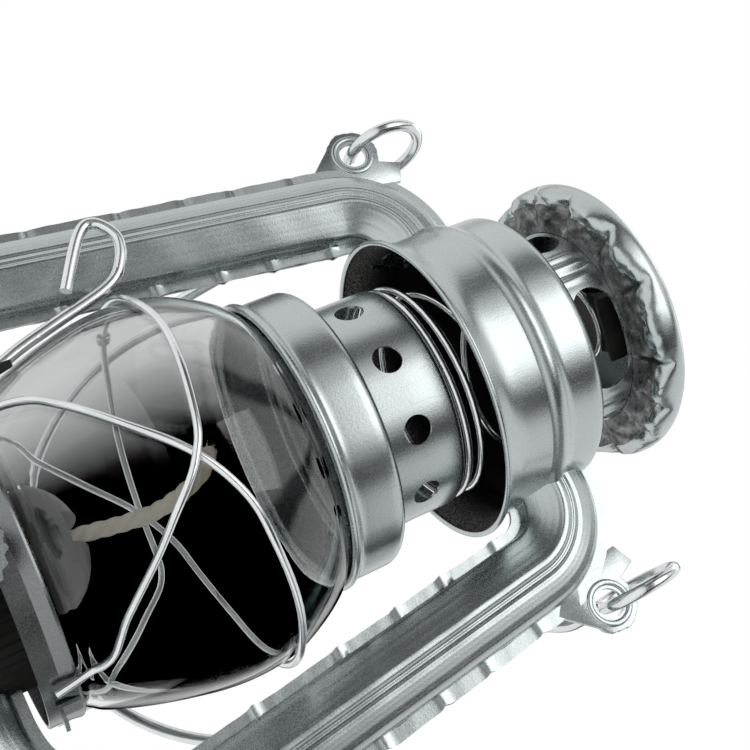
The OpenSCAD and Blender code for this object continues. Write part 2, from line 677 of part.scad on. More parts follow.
// Tab under the plate whose slot takes the tip of the lever's short arm
slot_play = rest_gap * 1.6;
tab_t = 1;
tab_front = lever_front + lever_wire_r + rest_gap + tab_t;
tab_half = 4;
module lift_tab() {
    w = lever_wire_r * 2 + 2 * slot_play + arm_l * (1 - cos(lever_turn - arm_drop));
    color("gray") translate([0, tab_t - tab_front, 0]) rotate([90, 0, 0]) linear_extrude(tab_t)
        difference() {
        translate([arm_tip.x - tab_half, arm_tip.y - tab_half]) square([2 * tab_half,
            plate_z - arm_tip.y + tab_half]);
        translate([arm_tip.x - lever_wire_r - slot_play - 2 * arm_l * (cos(arm_drop)
            - cos(lever_turn - arm_drop)),
            arm_tip.y - lever_wire_r - slot_play]) square([w + lever_wire_r / 2,
                2 * (lever_wire_r + slot_play)]);
    }
}

// Small sheet tab on the rim beside the right tube
plate_tab_w = 4;
plate_tab_az = -16;
module plate_tab() {
    color("silver") rotate(plate_tab_az) translate([plate_r, -plate_tab_w / 2, plate_z - skirt_h / 2]) {
        cube([sheet_t, plate_tab_w, 3 * rim_r + skirt_h / 2]);
        cube([plate_tab_w, plate_tab_w, sheet_t]);
    }
}

// Clear globe. The shares are of its height and of its largest radius, and the same outline
// guides the guard wires
glass_shares = [[0, 0.742], [0.029, 0.752], [0.056, 0.785], [0.095, 0.829], [0.2, 0.897], [0.307, 0.949],
    [0.413, 0.988],
    [0.519, 1], [0.624, 0.977], [0.717, 0.909], [0.785, 0.836], [0.822, 0.772], [0.85, 0.748], [0.9,
        0.738], [1, 0.716]];
glass_path = smooth([for (s = glass_shares) [s.y * globe_r, glass_z + s.x * globe_h]], 2);
function glass_r_at(z) = lookup(z, [for (q = glass_path) [q.y, q.x]]);
module globe() { color("lightcyan", 0.35) spun(glass_path, -glass_t); }

// Guard wires: two hairpins that cross at the front and the back. Each row is the angle from the
// hairpin's middle and the share of the height from the plate's rim to the band's bead
guard_low = plate_z + 3 * rim_r;
guard_high = band_top - band_h;
guard_gap = 0.35;
right_shares = [[-145, -0.07], [-140, 0.06], [-132, 0.18], [-122, 0.27], [-108, 0.4], [-94, 0.55], [-80,
    0.645], [-66, 0.68], [-45, 0.71],
    [-20, 0.715], [0, 0.715], [20, 0.715], [45, 0.71], [66, 0.68], [80, 0.645], [94, 0.55], [108, 0.4],
        [124, 0.25], [136, 0.18], [146, 0.06], [152, -0.07]];
left_shares = [[-152, -0.07], [-146, 0.1], [-131, 0.2], [-112, 0.39], [-100, 0.53], [-88, 0.57], [-60,
    0.585], [-30, 0.61],
    [-7, 0.618], [0, 0.62],
    [30, 0.635], [60, 0.66], [88, 0.6], [100, 0.53], [112, 0.39], [131, 0.2], [146, 0.1], [152, -0.07]];
hop_width = 24;
function guard_point(q, middle, hops) = let(
    z = guard_low + q.y * (guard_high - guard_low),
    foot = max(0, (0.08 - q.y) / 0.15),
    lift = max([for (h = hops) let(up = 1 - min(1, abs(q.x - h.x) / hop_width))
        h.y * up * up * (3 - 2 * up)]),
    r = max(glass_r_at(z) + guard_gap + guard_wire_r,
        (plate_r + guard_gap + guard_wire_r) * min(1, foot * 4)) + lift)
    [r * cos(q.x + middle), r * sin(q.x + middle), z];
module guard_wire(shares, middle, hops) {
    p = [for (q = smooth(shares, 3)) guard_point(q, middle, hops)];
    swept(p, guard_wire_r, 8);
}
right_mid = 12;
left_mid = 180;

// Twisted clip round the left hairpin, and the places where that wire rises: over the right one,
// and off the glass under the clip
clip_az = -7;
clip_share = 0.618;
clip_r = 0.4;
clip_lift = 2 * clip_r + 1.5 * rest_gap - guard_gap;
hop_h = 2 * guard_wire_r + guard_gap;
left_hops = [[-82, hop_h], [104.5, hop_h], [clip_az, clip_lift]];
module guard_wire_right() { color("gainsboro") guard_wire(right_shares, right_mid, [[0, 0]]); }
module guard_wire_left() { color("gainsboro") guard_wire(left_shares, left_mid, left_hops); }
module guard_clip() {
    q = guard_point([clip_az, clip_share], left_mid, left_hops);
    color("gainsboro") translate(q) rotate(clip_az + left_mid + 90) rotate([0, 90, 0]) for (i = [-1:1])
        translate([0, 0, i * 2.2 * clip_r]) rotate_extrude() translate([guard_wire_r + clip_r + rest_gap,
            0]) circle(clip_r);
}

// Band that grips the glass: bead, cylinder and rounded shoulder
band_bead_r = 0.95;
band_round = 2.6;
module globe_band() {
    color("silver") spun(concat(
        arc([band_r + band_bead_r * 0.3, band_top - band_h + band_bead_r], band_bead_r, -120, 60, 6),
        [[band_r, band_top - band_h + 3 * band_bead_r], [band_r, band_top - 1.4 * band_round]],
        arc([band_r - band_round, band_top - band_round], band_round, 10, 90, 4),
        [[collar_r - 2 * sheet_t, band_top]]), -sheet_t);
}

// Perforated collar with a turned-in top and a foot ring
hole_up = 8.7;
hole_z = band_top + hole_up;
hole_az = -130.3;
turn_in = 1.5;
foot_ring_out = 1.3;
foot_ring_r = collar_r + foot_ring_out;
module collar_tube() {
    color("silver") difference() {
        union() {
            spun(concat([[collar_r, band_top], [collar_r, collar_top - turn_in]],
                arc([collar_r - turn_in, collar_top - turn_in], turn_in, 15, 90, 4)), -sheet_t * 0.75);
            translate([0, 0, band_top]) difference() {
                cylinder(h = foot_ring_r - collar_r, r = foot_ring_r);
                translate([0, 0, -over]) cylinder(h = 3 * over, r = collar_r - sheet_t / 2);
            }
        }
        for (i = [0:collar_holes - 1]) rotate(hole_az + i * 360 / collar_holes) translate([0, 0, hole_z])
            rotate([0, 90, 0])
            cylinder(h = collar_r + over, r = collar_hole_r);
    }
}

// Bent wire lever: hooked handle, long arm, eye round the pin and short arm with its tip
handle_shares = [[-0.278, 0.724], [-0.484, 0.862], [-0.517, 0.939], [-0.431, 1], [-0.322, 0.969],
    [-0.238, 0.88],
    [-0.169, 0.646], [-0.122, 0.486], [-0.079, 0.372], [-0.007, 0.169], [0, 0]];
handle_h = 54.3;
function lever_point(s) = [pivot.x + s.x * handle_h, -lever_front, pivot.y + s.y * handle_h];
eye_wall = 1.2;
eye_out_r = pin_r + running_gap + eye_wall;
module lift_lever() {
    tip = [arm_tip.x, -lever_front, arm_tip.y];
    color("silver") difference() {
        union() {
            swept(smooth([for (s = handle_shares) lever_point(s)], 3), lever_wire_r, 12);
            translate([pivot.x, lever_wire_r - lever_front, pivot.y]) rotate([90, 0, 0])
                cylinder(h = 2 * lever_wire_r, r = eye_out_r);
            swept(rounded([[pivot.x, -lever_front, pivot.y], tip, tip - [0, tab_t + 2 * lever_wire_r,
                0]], 1.2 * lever_wire_r, 5),
                lever_wire_r, 12);
        }
        translate([pivot.x, over + lever_wire_r - lever_front, pivot.y]) rotate([90, 0, 0])
            cylinder(h = 2 * (lever_wire_r + over), r = pin_r + running_gap);
    }
}

// Carrying bail, one wire: each end is rolled into an eye that turns in its lug's hole, then the
// leg leaves the eye, jogs inward and runs down to the half round
jog = 8;
eye_open = 28;
leg_start = 1.6 * eye_r + jog / 4;
function eye_point(a) = [0, eye_r * sin(a), -eye_r * cos(a)];
function twisted(p) = [p.x * cos(eye_twist) - p.y * sin(eye_twist), p.x * sin(eye_twist)
    + p.y * cos(eye_twist), p.z];
function bail_side() = concat(
    [for (a = [360 - eye_open:-15:0]) [eye_out, 0, 0] + twisted(eye_point(a))],
    rounded([[eye_out, -eye_r * 0.5, -eye_r * 1.1], [eye_out, 0, -leg_start], [bail_half_w, 0,
        -leg_start - 2 * jog],
        [bail_half_w, 0, -bail_leg]], jog / 2, 3));
module bail() {
    right = bail_side();
    round_part = [for (a = [12:12:168]) [bail_half_w * cos(a), 0, -bail_leg - bail_half_w * sin(a)]];
    p = concat(right, round_part, [for (i = [len(right) - 1:-1:0]) [-right[i].x, right[i].y,
        right[i].z]]);
    color("silver") translate([0, eye_back, eye_z]) rotate([bail_rest, 0, 0]) swept(p, bail_wire_r, 10);
}

// Wick shaft, knob and toothed wheel
wheel_w = 1.2;
wheel_teeth = 12;
knob_t = 3.5;
knob_flutes = 24;
hub_r = 3;
module wick_shaft() {
    color("gray") shaft_line() translate([0, 0, -wheel_w]) cylinder(h = knob_reach + wheel_w,
        r = shaft_r);
}
module wick_knob() {
    color("silver") shaft_line() translate([0, 0, knob_reach - knob_t]) difference() {
        union() {
            linear_extrude(knob_t) polygon([for (i = [0:2 * knob_flutes - 1])
                (knob_r - (i % 2) * sheet_t) * [cos(i * 180 / knob_flutes), sin(i * 180 / knob_flutes)]]);
            translate([0, 0, -knob_t]) cylinder(h = knob_t, r = hub_r);
        }
        translate([0, 0, knob_t - sheet_t]) difference() {
            cylinder(h = over, r = knob_r - 3 * sheet_t);
            cylinder(h = over, r = hub_r);
        }
        translate([0, 0, -knob_t - over]) cylinder(h = 2 * knob_t + 2 * over, r = shaft_r);
    }
}
module wick_wheel() {
    color("dimgray") shaft_line() translate([0, 0, -wheel_w / 2]) difference() {
        linear_extrude(wheel_w) polygon([for (i = [0:2 * wheel_teeth - 1]) (wheel_r - (i % 2)
            * wheel_r * 0.3)
            * [cos(i * 180 / wheel_teeth), sin(i * 180 / wheel_teeth)]]);
        translate([0, 0, -over]) cylinder(h = wheel_w + 2 * over, r = shaft_r);
    }
}

// Rope wick: the free stretch as seen, and the straight tail down into the tank. The route's
// heights are from the end of the wick tube
wick_route = [[0, 0, -2], [0, 0, 3], [0.3, 0, 7], [1.1, 0, 12], [1.8, 0, 18], [1.7, 0, 23], [0.6, 0, 28],
    [-0.9, 0, 32], [-2.8, 0, 35.4], [-6.4, 0, 38.4]];
wick_tail_z = floor_z + 7;
module wick() {
    p = [for (q = smooth(wick_route, 2)) [q.x, q.y, q.z + wick_tube_top]];
    color("burlywood") swept(p, wick_r, 8);
}
module wick_tail() {
    color("burlywood") translate([0, 0, wick_tail_z]) cylinder(h = wick_tube_top + wick_route[0].z -
        wick_tail_z, r = wick_r);
}

tank_base();
tank_shell();
filler_neck();
burner_chamber();
burner_cup();
wick_tube();
burner_dome();
tube_right_front();
tube_right_rear();
tube_left_front();
tube_left_rear();
drum_shell();
hood_neck();
hood_cap();
spring_strap();
collar_spring();
lever_bracket();
lever_pin();
globe_plate();
lift_tab();
plate_tab();
guard_wire_right();
guard_wire_left();
guard_clip();
globe();
globe_band();
collar_tube();
lift_lever();
bail();
wick_shaft();
wick_knob();
wick_wheel();
wick();
wick_tail();
filler_cap();
cap_gasket();
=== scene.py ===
# %% [markdown]
# # A tubular lantern in bright tin plate
# The lantern burns oil: a tank at the bottom, two pressed air tubes at the sides, a drum with a
# slotted hood on top, and between them a glass globe that a wire lever lifts. The CAD frame holds
# the true sizes and the moving bodies. This script dresses it: smoother turned shells, tubes with
# crimped seams, round wires, a twisted rope wick and finishes for each metal.

# %% Load the frame
import math
import random

import bmesh
import bpy
import numpy as np
from mathutils import Matrix, Vector


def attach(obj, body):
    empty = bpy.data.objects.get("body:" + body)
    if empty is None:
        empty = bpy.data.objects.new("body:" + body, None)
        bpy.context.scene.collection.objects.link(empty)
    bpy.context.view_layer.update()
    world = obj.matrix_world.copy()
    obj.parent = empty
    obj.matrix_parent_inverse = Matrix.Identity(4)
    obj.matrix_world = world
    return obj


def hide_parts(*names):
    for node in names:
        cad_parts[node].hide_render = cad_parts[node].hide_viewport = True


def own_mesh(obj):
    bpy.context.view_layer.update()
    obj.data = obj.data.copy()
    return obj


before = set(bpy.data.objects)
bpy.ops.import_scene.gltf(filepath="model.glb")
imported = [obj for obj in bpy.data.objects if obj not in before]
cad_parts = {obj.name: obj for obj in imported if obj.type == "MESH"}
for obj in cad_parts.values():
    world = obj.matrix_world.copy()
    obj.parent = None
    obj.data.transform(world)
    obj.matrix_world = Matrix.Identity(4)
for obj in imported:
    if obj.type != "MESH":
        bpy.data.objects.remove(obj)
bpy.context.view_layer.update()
MM = 0.001
random.seed(7)

# %% [markdown]
# ## The camera
# The photograph looks at the lantern from below, close to the globe, with the camera rolled so
# that the lantern seems to lie on its side. A camera is a place and three directions: right, up,
# and backwards. Setting them as the columns of a matrix is surer than three typed angles.

# %% Camera
camera_place = Vector((73.3, -269.8, 69.4)) * MM
right = Vector((0.4635, -0.2156, 0.8595))
up = Vector((-0.8448, -0.4002, 0.3552))
back = right.cross(up)
LENS = 62.3
SENSOR = 36
NEAREST = 10
camera_data = bpy.data.cameras.new("camera")
camera_data.lens = LENS
camera_data.sensor_width = SENSOR
camera_data.clip_start = NEAREST * MM
camera = bpy.data.objects.new("camera", camera_data)
turn = Matrix((right, up, back)).transposed()
camera.matrix_world = Matrix.Translation(camera_place) @ turn.to_4x4()
bpy.context.scene.collection.objects.link(camera)
bpy.context.scene.camera = camera
bpy.context.scene.view_settings.view_transform = "Standard"

# %% [markdown]
# ## Sizes that the pieces share
# These are the heights and radii of the CAD source, in millimetres, so that every piece made here
# lands where its CAD node is.

# %% Shared sizes
SHEET = 0.8
TUBE_SHEET = 0.6
TANK_H = 57.0
CHAMBER_R = 25.0
PLATE_Z = 87.8
GLASS_Z = 88.8
GLOBE_H = 75.6
GLOBE_R = 42.8
BAND_TOP = 165.4
BAND_H = 13.9
COLLAR_TOP = 184.4
COLLAR_R = 26.5
MOUTH_Z = 187.9
DRUM_H = 30
NECK_R = 24.5
NECK_H = 14.5
NECK_Z = MOUTH_Z + DRUM_H
NECK_TOP = NECK_Z + NECK_H
ROLL_R = 4.1
ROLL_Z = NECK_TOP + ROLL_R
HOOD_R = 35
ROLL_OUT = HOOD_R - ROLL_R
WICK_TUBE_TOP = 99.2
WICK_R = 2.05
GLASS_T = 1.6
PLATE_R = 34.3
GUARD_R = 0.85
GUARD_GAP = 0.35
LEVER_R = 1.3
BAIL_R = 1.45
SPRING_R = 0.8


# %% [markdown]
# ## Helpers for outlines
# A turned shell starts as an outline of radius and height. Arcs and a smooth curve through a few
# points make the outline, and the sheet's second side is the first one pushed sideways by the
# thickness.

# %% Outline helpers
def arc(centre, radius, start, end, steps):
    """Points along an arc, angles in degrees."""
    angles = np.radians(np.linspace(start, end, steps + 1))
    return [(centre[0] + radius * math.cos(a), centre[1] + radius * math.sin(a)) for a in angles]


def smooth(points, steps):
    """A smooth curve through the points, with some steps between each two."""
    p = [np.array(q, float) for q in points]
    made = []
    for i in range(len(p) - 1):
        a, b, c, d = p[max(i - 1, 0)], p[i], p[i + 1], p[min(i + 2, len(p) - 1)]
        for t in np.arange(steps) / steps:
            made.append(0.5 * (2 * b + (c - a) * t + (2 * a - 5 * b + 4 * c - d) * t**2
                               + (3 * b - a - 3 * c + d) * t**3))
    return made + [p[-1]]


def sheet(points, thickness):
    """Closed outline of a sheet that lies to the right of the points."""
    p = np.array(points, float)
    steps = np.diff(p, axis=0)
    steps /= np.linalg.norm(steps, axis=1)[:, None]
    before = np.vstack([steps[:1], steps])
    after = np.vstack([steps, steps[-1:]])
    middle = before + after
    middle /= np.linalg.norm(middle, axis=1)[:, None]
    sides = np.stack([middle[:, 1], -middle[:, 0]], 1) / (middle * before).sum(1)[:, None]
    return [tuple(q) for q in np.vstack([p, (p + thickness * sides)[::-1]])]


# %% [markdown]
# ## Helpers for pieces
# Every piece ends the same way: its mesh is shaded smooth except at real edges, it takes its
# finish, it rides on a body, and it stands for the CAD node whose place it takes.

# %% Piece helpers
def finish_mesh(mesh, sharp):
    for polygon in mesh.polygons:
        polygon.use_smooth = True
    mesh.set_sharp_from_angle(angle=math.radians(sharp))


def place(obj, body, material, nodes=(), sharp=35):
    """Smooth shading, finish, body and the CAD nodes that the piece stands for."""
    obj.data.materials.clear()
    obj.data.materials.append(material)
    finish_mesh(obj.data, sharp)
    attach(obj, body)
    if nodes:
        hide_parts(*nodes)
    return obj


def from_bmesh(name, bm, weld=1e-6):
    """An object from a bmesh in millimetres, welded, with its faces pointing outwards."""
    bmesh.ops.remove_doubles(bm, verts=bm.verts, dist=weld / MM)
    bmesh.ops.recalc_face_normals(bm, faces=bm.faces)
    bmesh.ops.scale(bm, vec=(MM, MM, MM), verts=bm.verts)
    mesh = bpy.data.meshes.new(name)
    bm.to_mesh(mesh)
    bm.free()
    obj = bpy.data.objects.new(name, mesh)
    bpy.context.scene.collection.objects.link(obj)
    return obj


def turned_mesh(outline, steps):
    """A bmesh spun round Z from a closed outline of radius and height."""
    bm = bmesh.new()
    verts = [bm.verts.new((max(r, 0), 0, z)) for r, z in outline]
    edges = [bm.edges.new(pair) for pair in zip(verts, verts[1:])]
    edges.append(bm.edges.new((verts[-1], verts[0])))
    bmesh.ops.spin(bm, geom=verts + edges, cent=(0, 0, 0), axis=(0, 0, 1), angle=math.tau,
                   steps=steps, use_merge=True, use_duplicate=False)
    bmesh.ops.remove_doubles(bm, verts=bm.verts, dist=1e-4)
    return bm


def cut(obj, *cutters):
    """The cutters come off the object, and are deleted."""
    for cutter in cutters:
        change = obj.modifiers.new("cut", "BOOLEAN")
        change.operation = "DIFFERENCE"
        change.solver = "EXACT"
        change.object = cutter
    bpy.context.view_layer.update()
    scene_now = bpy.context.evaluated_depsgraph_get()
    mesh = bpy.data.meshes.new_from_object(obj.evaluated_get(scene_now))
    obj.modifiers.clear()
    obj.data = mesh
    for cutter in cutters:
        bpy.data.objects.remove(cutter)


def drill(places, radius, depth, segments=32):
    """One cutter of round bars, each from a place along a direction."""
    bm = bmesh.new()
    for start, direction in places:
        direction = Vector(direction).normalized()
        turn = Vector((0, 0, 1)).rotation_difference(direction).to_matrix().to_4x4()
        move = Matrix.Translation(Vector(start) + direction * depth / 2) @ turn
        bmesh.ops.create_cone(bm, cap_ends=True, segments=segments, radius1=radius,
                              radius2=radius, depth=depth, matrix=move)
    return from_bmesh("cutter", bm)


def tube(name, points, radius, cyclic=False, sides=4, swell=None):
    """Round wire through points in millimetres, as a mesh."""
    curve = bpy.data.curves.new(name, "CURVE")
    curve.dimensions = "3D"
    curve.bevel_depth = radius * MM
    curve.bevel_resolution = sides
    curve.use_fill_caps = True
    spline = curve.splines.new("POLY")
    spline.points.add(len(points) - 1)
    for i, (point, q) in enumerate(zip(spline.points, points)):
        point.co = (q[0] * MM, q[1] * MM, q[2] * MM, 1)
        if swell:
            point.radius = swell[i]
    spline.use_cyclic_u = cyclic
    holder = bpy.data.objects.new(name, curve)
    bpy.context.scene.collection.objects.link(holder)
    scene_now = bpy.context.evaluated_depsgraph_get()
    mesh = bpy.data.meshes.new_from_object(holder.evaluated_get(scene_now))
    bpy.data.objects.remove(holder)
    bm = bmesh.new()
    bm.from_mesh(mesh)
    bmesh.ops.remove_doubles(bm, verts=bm.verts, dist=1e-6)
    bmesh.ops.recalc_face_normals(bm, faces=bm.faces)
    bm.to_mesh(mesh)
    bm.free()
    obj = bpy.data.objects.new(name, mesh)
    bpy.context.scene.collection.objects.link(obj)
    return obj


def prism(bm, corners, push):
    """A flat face with these corners, pushed out to a solid."""
    face = bm.faces.new([bm.verts.new(corner) for corner in corners])
    made = bmesh.ops.extrude_face_region(bm, geom=[face])["geom"]
    moved = [g for g in made if isinstance(g, bmesh.types.BMVert)]
    bmesh.ops.translate(bm, vec=push, verts=moved)


def dress(material, *names, sharp=30):
    """CAD nodes that stay as they are and take a finish."""
    for name in names:
        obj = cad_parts[name]
        obj.data.materials.clear()
        obj.data.materials.append(material)
        finish_mesh(obj.data, sharp)


# %% [markdown]
# ## Finishes
# A finish is a small calculation over the surface. The wrapper below lets a socket take part in
# plain arithmetic, so the shader reads like the sentence that describes it.

# %% Shader helpers
class Part:
    """A shader socket that takes part in sums."""

    def __init__(self, finish, socket):
        self.finish = finish
        self.socket = socket

    def _with(self, operation, first, second):
        return self.finish.node("ShaderNodeMath", {"operation": operation}, {0: first, 1: second})

    def __add__(self, other):
        return self._with("ADD", self, other)

    def __radd__(self, other):
        return self._with("ADD", other, self)

    def __sub__(self, other):
        return self._with("SUBTRACT", self, other)

    def __mul__(self, other):
        return self._with("MULTIPLY", self, other)


class Finish:
    """A material with one Principled shader and nodes that drive a few of its sockets."""

    def __init__(self, name, **values):
        self.material = bpy.data.materials.new(name)
        self.material.use_nodes = True
        self.tree = self.material.node_tree
        self.shader = self.tree.nodes["Principled BSDF"]
        for key, value in values.items():
            self.shader.inputs[key.replace("_", " ")].default_value = value
        self.here = self.node("ShaderNodeTexCoord", {}, {}, "Object")

    def node(self, kind, settings, inputs, output=0):
        made = self.tree.nodes.new(kind)
        for key, value in settings.items():
            if key == "stops":
                ramp = made.color_ramp
                while len(ramp.elements) < len(value):
                    ramp.elements.new(0.5)
                for element, (at, level) in zip(ramp.elements, value):
                    element.position = at
                    element.color = (level, level, level, 1)
            else:
                setattr(made, key, value)
        for key, value in inputs.items():
            if isinstance(value, Part):
                self.tree.links.new(value.socket, made.inputs[key])
            else:
                made.inputs[key].default_value = value
        return Part(self, made.outputs[output])

    def noise(self, scale, detail=2.0, roughness=0.5, where=None):
        return self.node("ShaderNodeTexNoise", {}, {
            "Vector": where or self.here, "Scale": scale, "Detail": detail,
            "Roughness": roughness}, "Fac")

    def stretched(self, scale):
        return self.node("ShaderNodeMapping", {}, {"Vector": self.here, "Scale": scale})

    def ramp(self, value, *stops):
        return self.node("ShaderNodeValToRGB", {"stops": stops}, {"Fac": value})

    def mix(self, share, first, second):
        made = self.tree.nodes.new("ShaderNodeMix")
        made.data_type = "RGBA"
        for key, value in ((0, share), (6, first), (7, second)):
            if isinstance(value, Part):
                self.tree.links.new(value.socket, made.inputs[key])
            else:
                made.inputs[key].default_value = value
        return Part(self, made.outputs[2])

    def bump(self, height, distance, strength=1.0):
        return self.node("ShaderNodeBump", {}, {
            "Height": height, "Distance": distance, "Strength": strength}, "Normal")

    def drive(self, name, part):
        self.tree.links.new(part.socket, self.shader.inputs[name])


# %% [markdown]
# ### Tin plate
# Dipped tin is bright but not a mirror: a very fine grain breaks up each reflection, the plate
# carries faint clouds where it was handled, and thin scratches run along the pressing.

# %% Tin plate
def tin_plate(name, dark, light, rough):
    made = Finish(name, Metallic=1.0)
    cloud = made.noise(45, 3)
    fine = made.noise(2600, 2, 0.6)
    sugar = made.noise(1300, 1, 0.5)
    scratch = made.ramp(made.noise(1, 3, 0.6, made.stretched((2600, 2200, 90))), (0.6, 0), (0.72, 1))
    made.drive("Base Color", made.mix(cloud * 0.45 + fine * 0.55, dark, light))
    made.drive("Roughness", rough + cloud * 0.12 + fine * 0.12 + scratch * 0.08)
    height = fine * 0.6 + sugar * 0.4 + scratch * 0.12
    made.drive("Normal", made.bump(height, 0.00004, 0.5))
    return made.material


tin = tin_plate("tin_plate", (0.32, 0.357, 0.36, 1), (0.6, 0.64, 0.64, 1), 0.15)
# A darker copy of the tin for the globe plate: painted shade, for the plate lying edge-on in shadow.
tin_painted_shade = tin_plate("tin_plate_painted_shade", (0.1, 0.108, 0.108, 1), (0.3, 0.315, 0.315, 1), 0.14)


def inside_tin_with_painted_shade():
    """The drum's inside with painted shade: speckled grey near the mouth, darkening to black further
    in.
    """
    made = Finish("tin_plate_inside_painted_shade", Roughness=0.8, Specular_IOR_Level=0.15)
    high = made.node("ShaderNodeSeparateXYZ", {}, {0: made.here}, 2)
    # Painted shade: the colour goes to black further in from the mouth.
    shade_inward = made.node("ShaderNodeMapRange", {"interpolation_type": "SMOOTHSTEP"}, {
        0: high, 1: (MOUTH_Z + 3) * MM, 2: (MOUTH_Z + 12) * MM, 3: 0, 4: 1})
    speck = made.ramp(made.noise(2300, 2, 0.7), (0.42, 0), (0.62, 1))
    near = made.mix(speck, (0.035, 0.034, 0.032, 1), (0.3, 0.3, 0.28, 1))
    made.drive("Base Color", made.mix(shade_inward, near, (0.004, 0.004, 0.004, 1)))
    return made.material


tin_inside_painted_shade = inside_tin_with_painted_shade()


def crushed_tin():
    """The gathered underside of the hood: a darker, duller grey than the cap's top, in coarse blotches.
    """
    made = Finish("tin_plate_crushed", Metallic=1.0)
    cloud = made.noise(160, 4, 0.65)
    fine = made.noise(1500, 3, 0.65)
    blotches = made.ramp(cloud * 0.6 + fine * 0.4, (0.36, 0), (0.66, 1))
    made.drive("Base Color", made.mix(blotches, (0.04, 0.041, 0.04, 1), (0.38, 0.385, 0.38, 1)))
    made.drive("Roughness", 0.34 + cloud * 0.2)
    made.drive("Normal", made.bump(fine * 0.5 + cloud, 0.0002, 0.6))
    return made.material


crushed = crushed_tin()

# %% [markdown]
# ### Wire, steel with painted shade, glass and cotton
# Drawn wire is brighter along its length and bears small tool marks. The burner parts and the
# spring strap are dark steel, and the burner chamber is near-black: both are painted shade, for
# metal that lies in deep shadow. The lever bracket is near-black too. The globe is clear glass,
# and its grey tint is painted shade over the white background seen through it.

# %% Wire
def drawn_wire():
    made = Finish("drawn_wire", Metallic=1.0)
    cloud = made.noise(160, 3)
    fine = made.noise(2200, 2, 0.6)
    mark = made.ramp(made.noise(420, 2), (0.64, 0), (0.7, 1))
    made.drive("Base Color", made.mix(cloud * 0.6 + fine * 0.4, (0.5, 0.52, 0.525, 1),
                                      (0.85, 0.87, 0.875, 1)))
    made.drive("Roughness", 0.09 + cloud * 0.1 + fine * 0.1)
    made.drive("Normal", made.bump(fine * 0.5 - mark * 0.8, 0.00005, 0.5))
    return made.material


def metal_with_painted_shade(name, dark, light, rough):
    made = Finish(name, Metallic=0.9)
    cloud = made.noise(120, 4, 0.6)
    fine = made.noise(1800, 2, 0.6)
    made.drive("Base Color", made.mix(cloud, dark, light))
    made.drive("Roughness", rough + cloud * 0.2 + fine * 0.08)
    made.drive("Normal", made.bump(fine, 0.00005, 0.5))
    return made.material


wire_finish = drawn_wire()
# Painted shade: the burner parts and the spring strap are bright metal, darkened for the deep shadow
# they lie in.
dark_steel = metal_with_painted_shade("dark_steel", (0.055, 0.052, 0.05, 1), (0.13, 0.125, 0.12, 1), 0.34)
# Near-black steel: painted shade on the burner chamber, which is bright metal in deep shadow; the lever
# bracket is near-black too.
black_steel_and_shade = metal_with_painted_shade("black_steel_and_painted_shade", (0.012, 0.012, 0.012, 1), (0.05, 0.048, 0.046, 1), 0.5)

# %% Glass, cotton and rubber
GLASS_IOR = 1.5
# The grey tint is painted shade: the glass is clear, and the tint darkens the white background seen
# through it.
glass = Finish("clear_glass", Base_Color=(0.74, 0.755, 0.75, 1), Roughness=0.0, IOR=GLASS_IOR,
               Transmission_Weight=1.0).material


def cotton():
    made = Finish("cotton_rope", Roughness=0.95, Sheen_Weight=0.25, Sheen_Roughness=0.5)
    fibre = made.noise(1, 4, 0.7, made.stretched((5200, 5200, 1400)))
    cloud = made.noise(260, 3)
    made.drive("Base Color", made.mix(fibre * 0.7 + cloud * 0.3, (0.42, 0.33, 0.21, 1),
                                      (0.97, 0.88, 0.7, 1)))
    made.drive("Normal", made.bump(fibre, 0.0002, 0.7))
    return made.material


rope_finish = cotton()
rubber = Finish("gasket_rubber", Base_Color=(0.02, 0.019, 0.018, 1), Roughness=0.75).material
print("finishes made:", len(bpy.data.materials))

# %% [markdown]
# ## The rope wick
# A round rope of three cotton strands comes out of the burner and bends over at its frayed end.
# The route's points are those of the CAD source. One tube follows it, and its section has three
# lobes that turn as it goes, which is how a laid rope looks. Each lobe carries finer plies that
# turn the other way.

# %% Wick
STRANDS = 3
STRAND_TURN = 0.62
PLIES = 9
PLY_TURN = 0.5
wick_route = [(0, 0, -2), (0, 0, 3), (0.3, 0, 7), (1.1, 0, 12), (1.8, 0, 18), (1.7, 0, 23),
              (0.6, 0, 28), (-0.9, 0, 32), (-2.8, 0, 35.4), (-6.4, 0, 38.4)]
wick_line = [q + np.array((0, 0, WICK_TUBE_TOP)) for q in smooth(wick_route, 12)]
wick = tube("wick_rope", wick_line, WICK_R, sides=10)
wick_length = sum(np.linalg.norm(b - a) for a, b in zip(wick_line, wick_line[1:]))
line = np.array(wick_line)
travel = np.concatenate([[0], np.cumsum(np.linalg.norm(np.diff(line, axis=0), axis=1))])
for vertex in wick.data.vertices:
    p = np.array(vertex.co) / MM
    i = int(np.argmin(np.linalg.norm(line - p, axis=1)))
    ahead = line[min(i + 1, len(line) - 1)] - line[max(i - 1, 0)]
    ahead /= np.linalg.norm(ahead)
    out = p - line[i]
    out -= ahead * out.dot(ahead)
    if np.linalg.norm(out) < 0.3:
        continue
    level = np.array((0, 1, 0))
    angle = math.atan2(out.dot(level), out.dot(np.cross(level, ahead)))
    lobe = abs(math.cos(STRANDS / 2 * (angle + travel[i] * STRAND_TURN)))
    ply = math.cos(PLIES * (angle - travel[i] * PLY_TURN))
    size = WICK_R * (0.66 + 0.28 * lobe**0.6 + 0.03 * ply)
    vertex.co = Vector((line[i] + out / np.linalg.norm(out) * size) * MM)
place(wick, "wick", rope_finish, ["wick"], sharp=80)

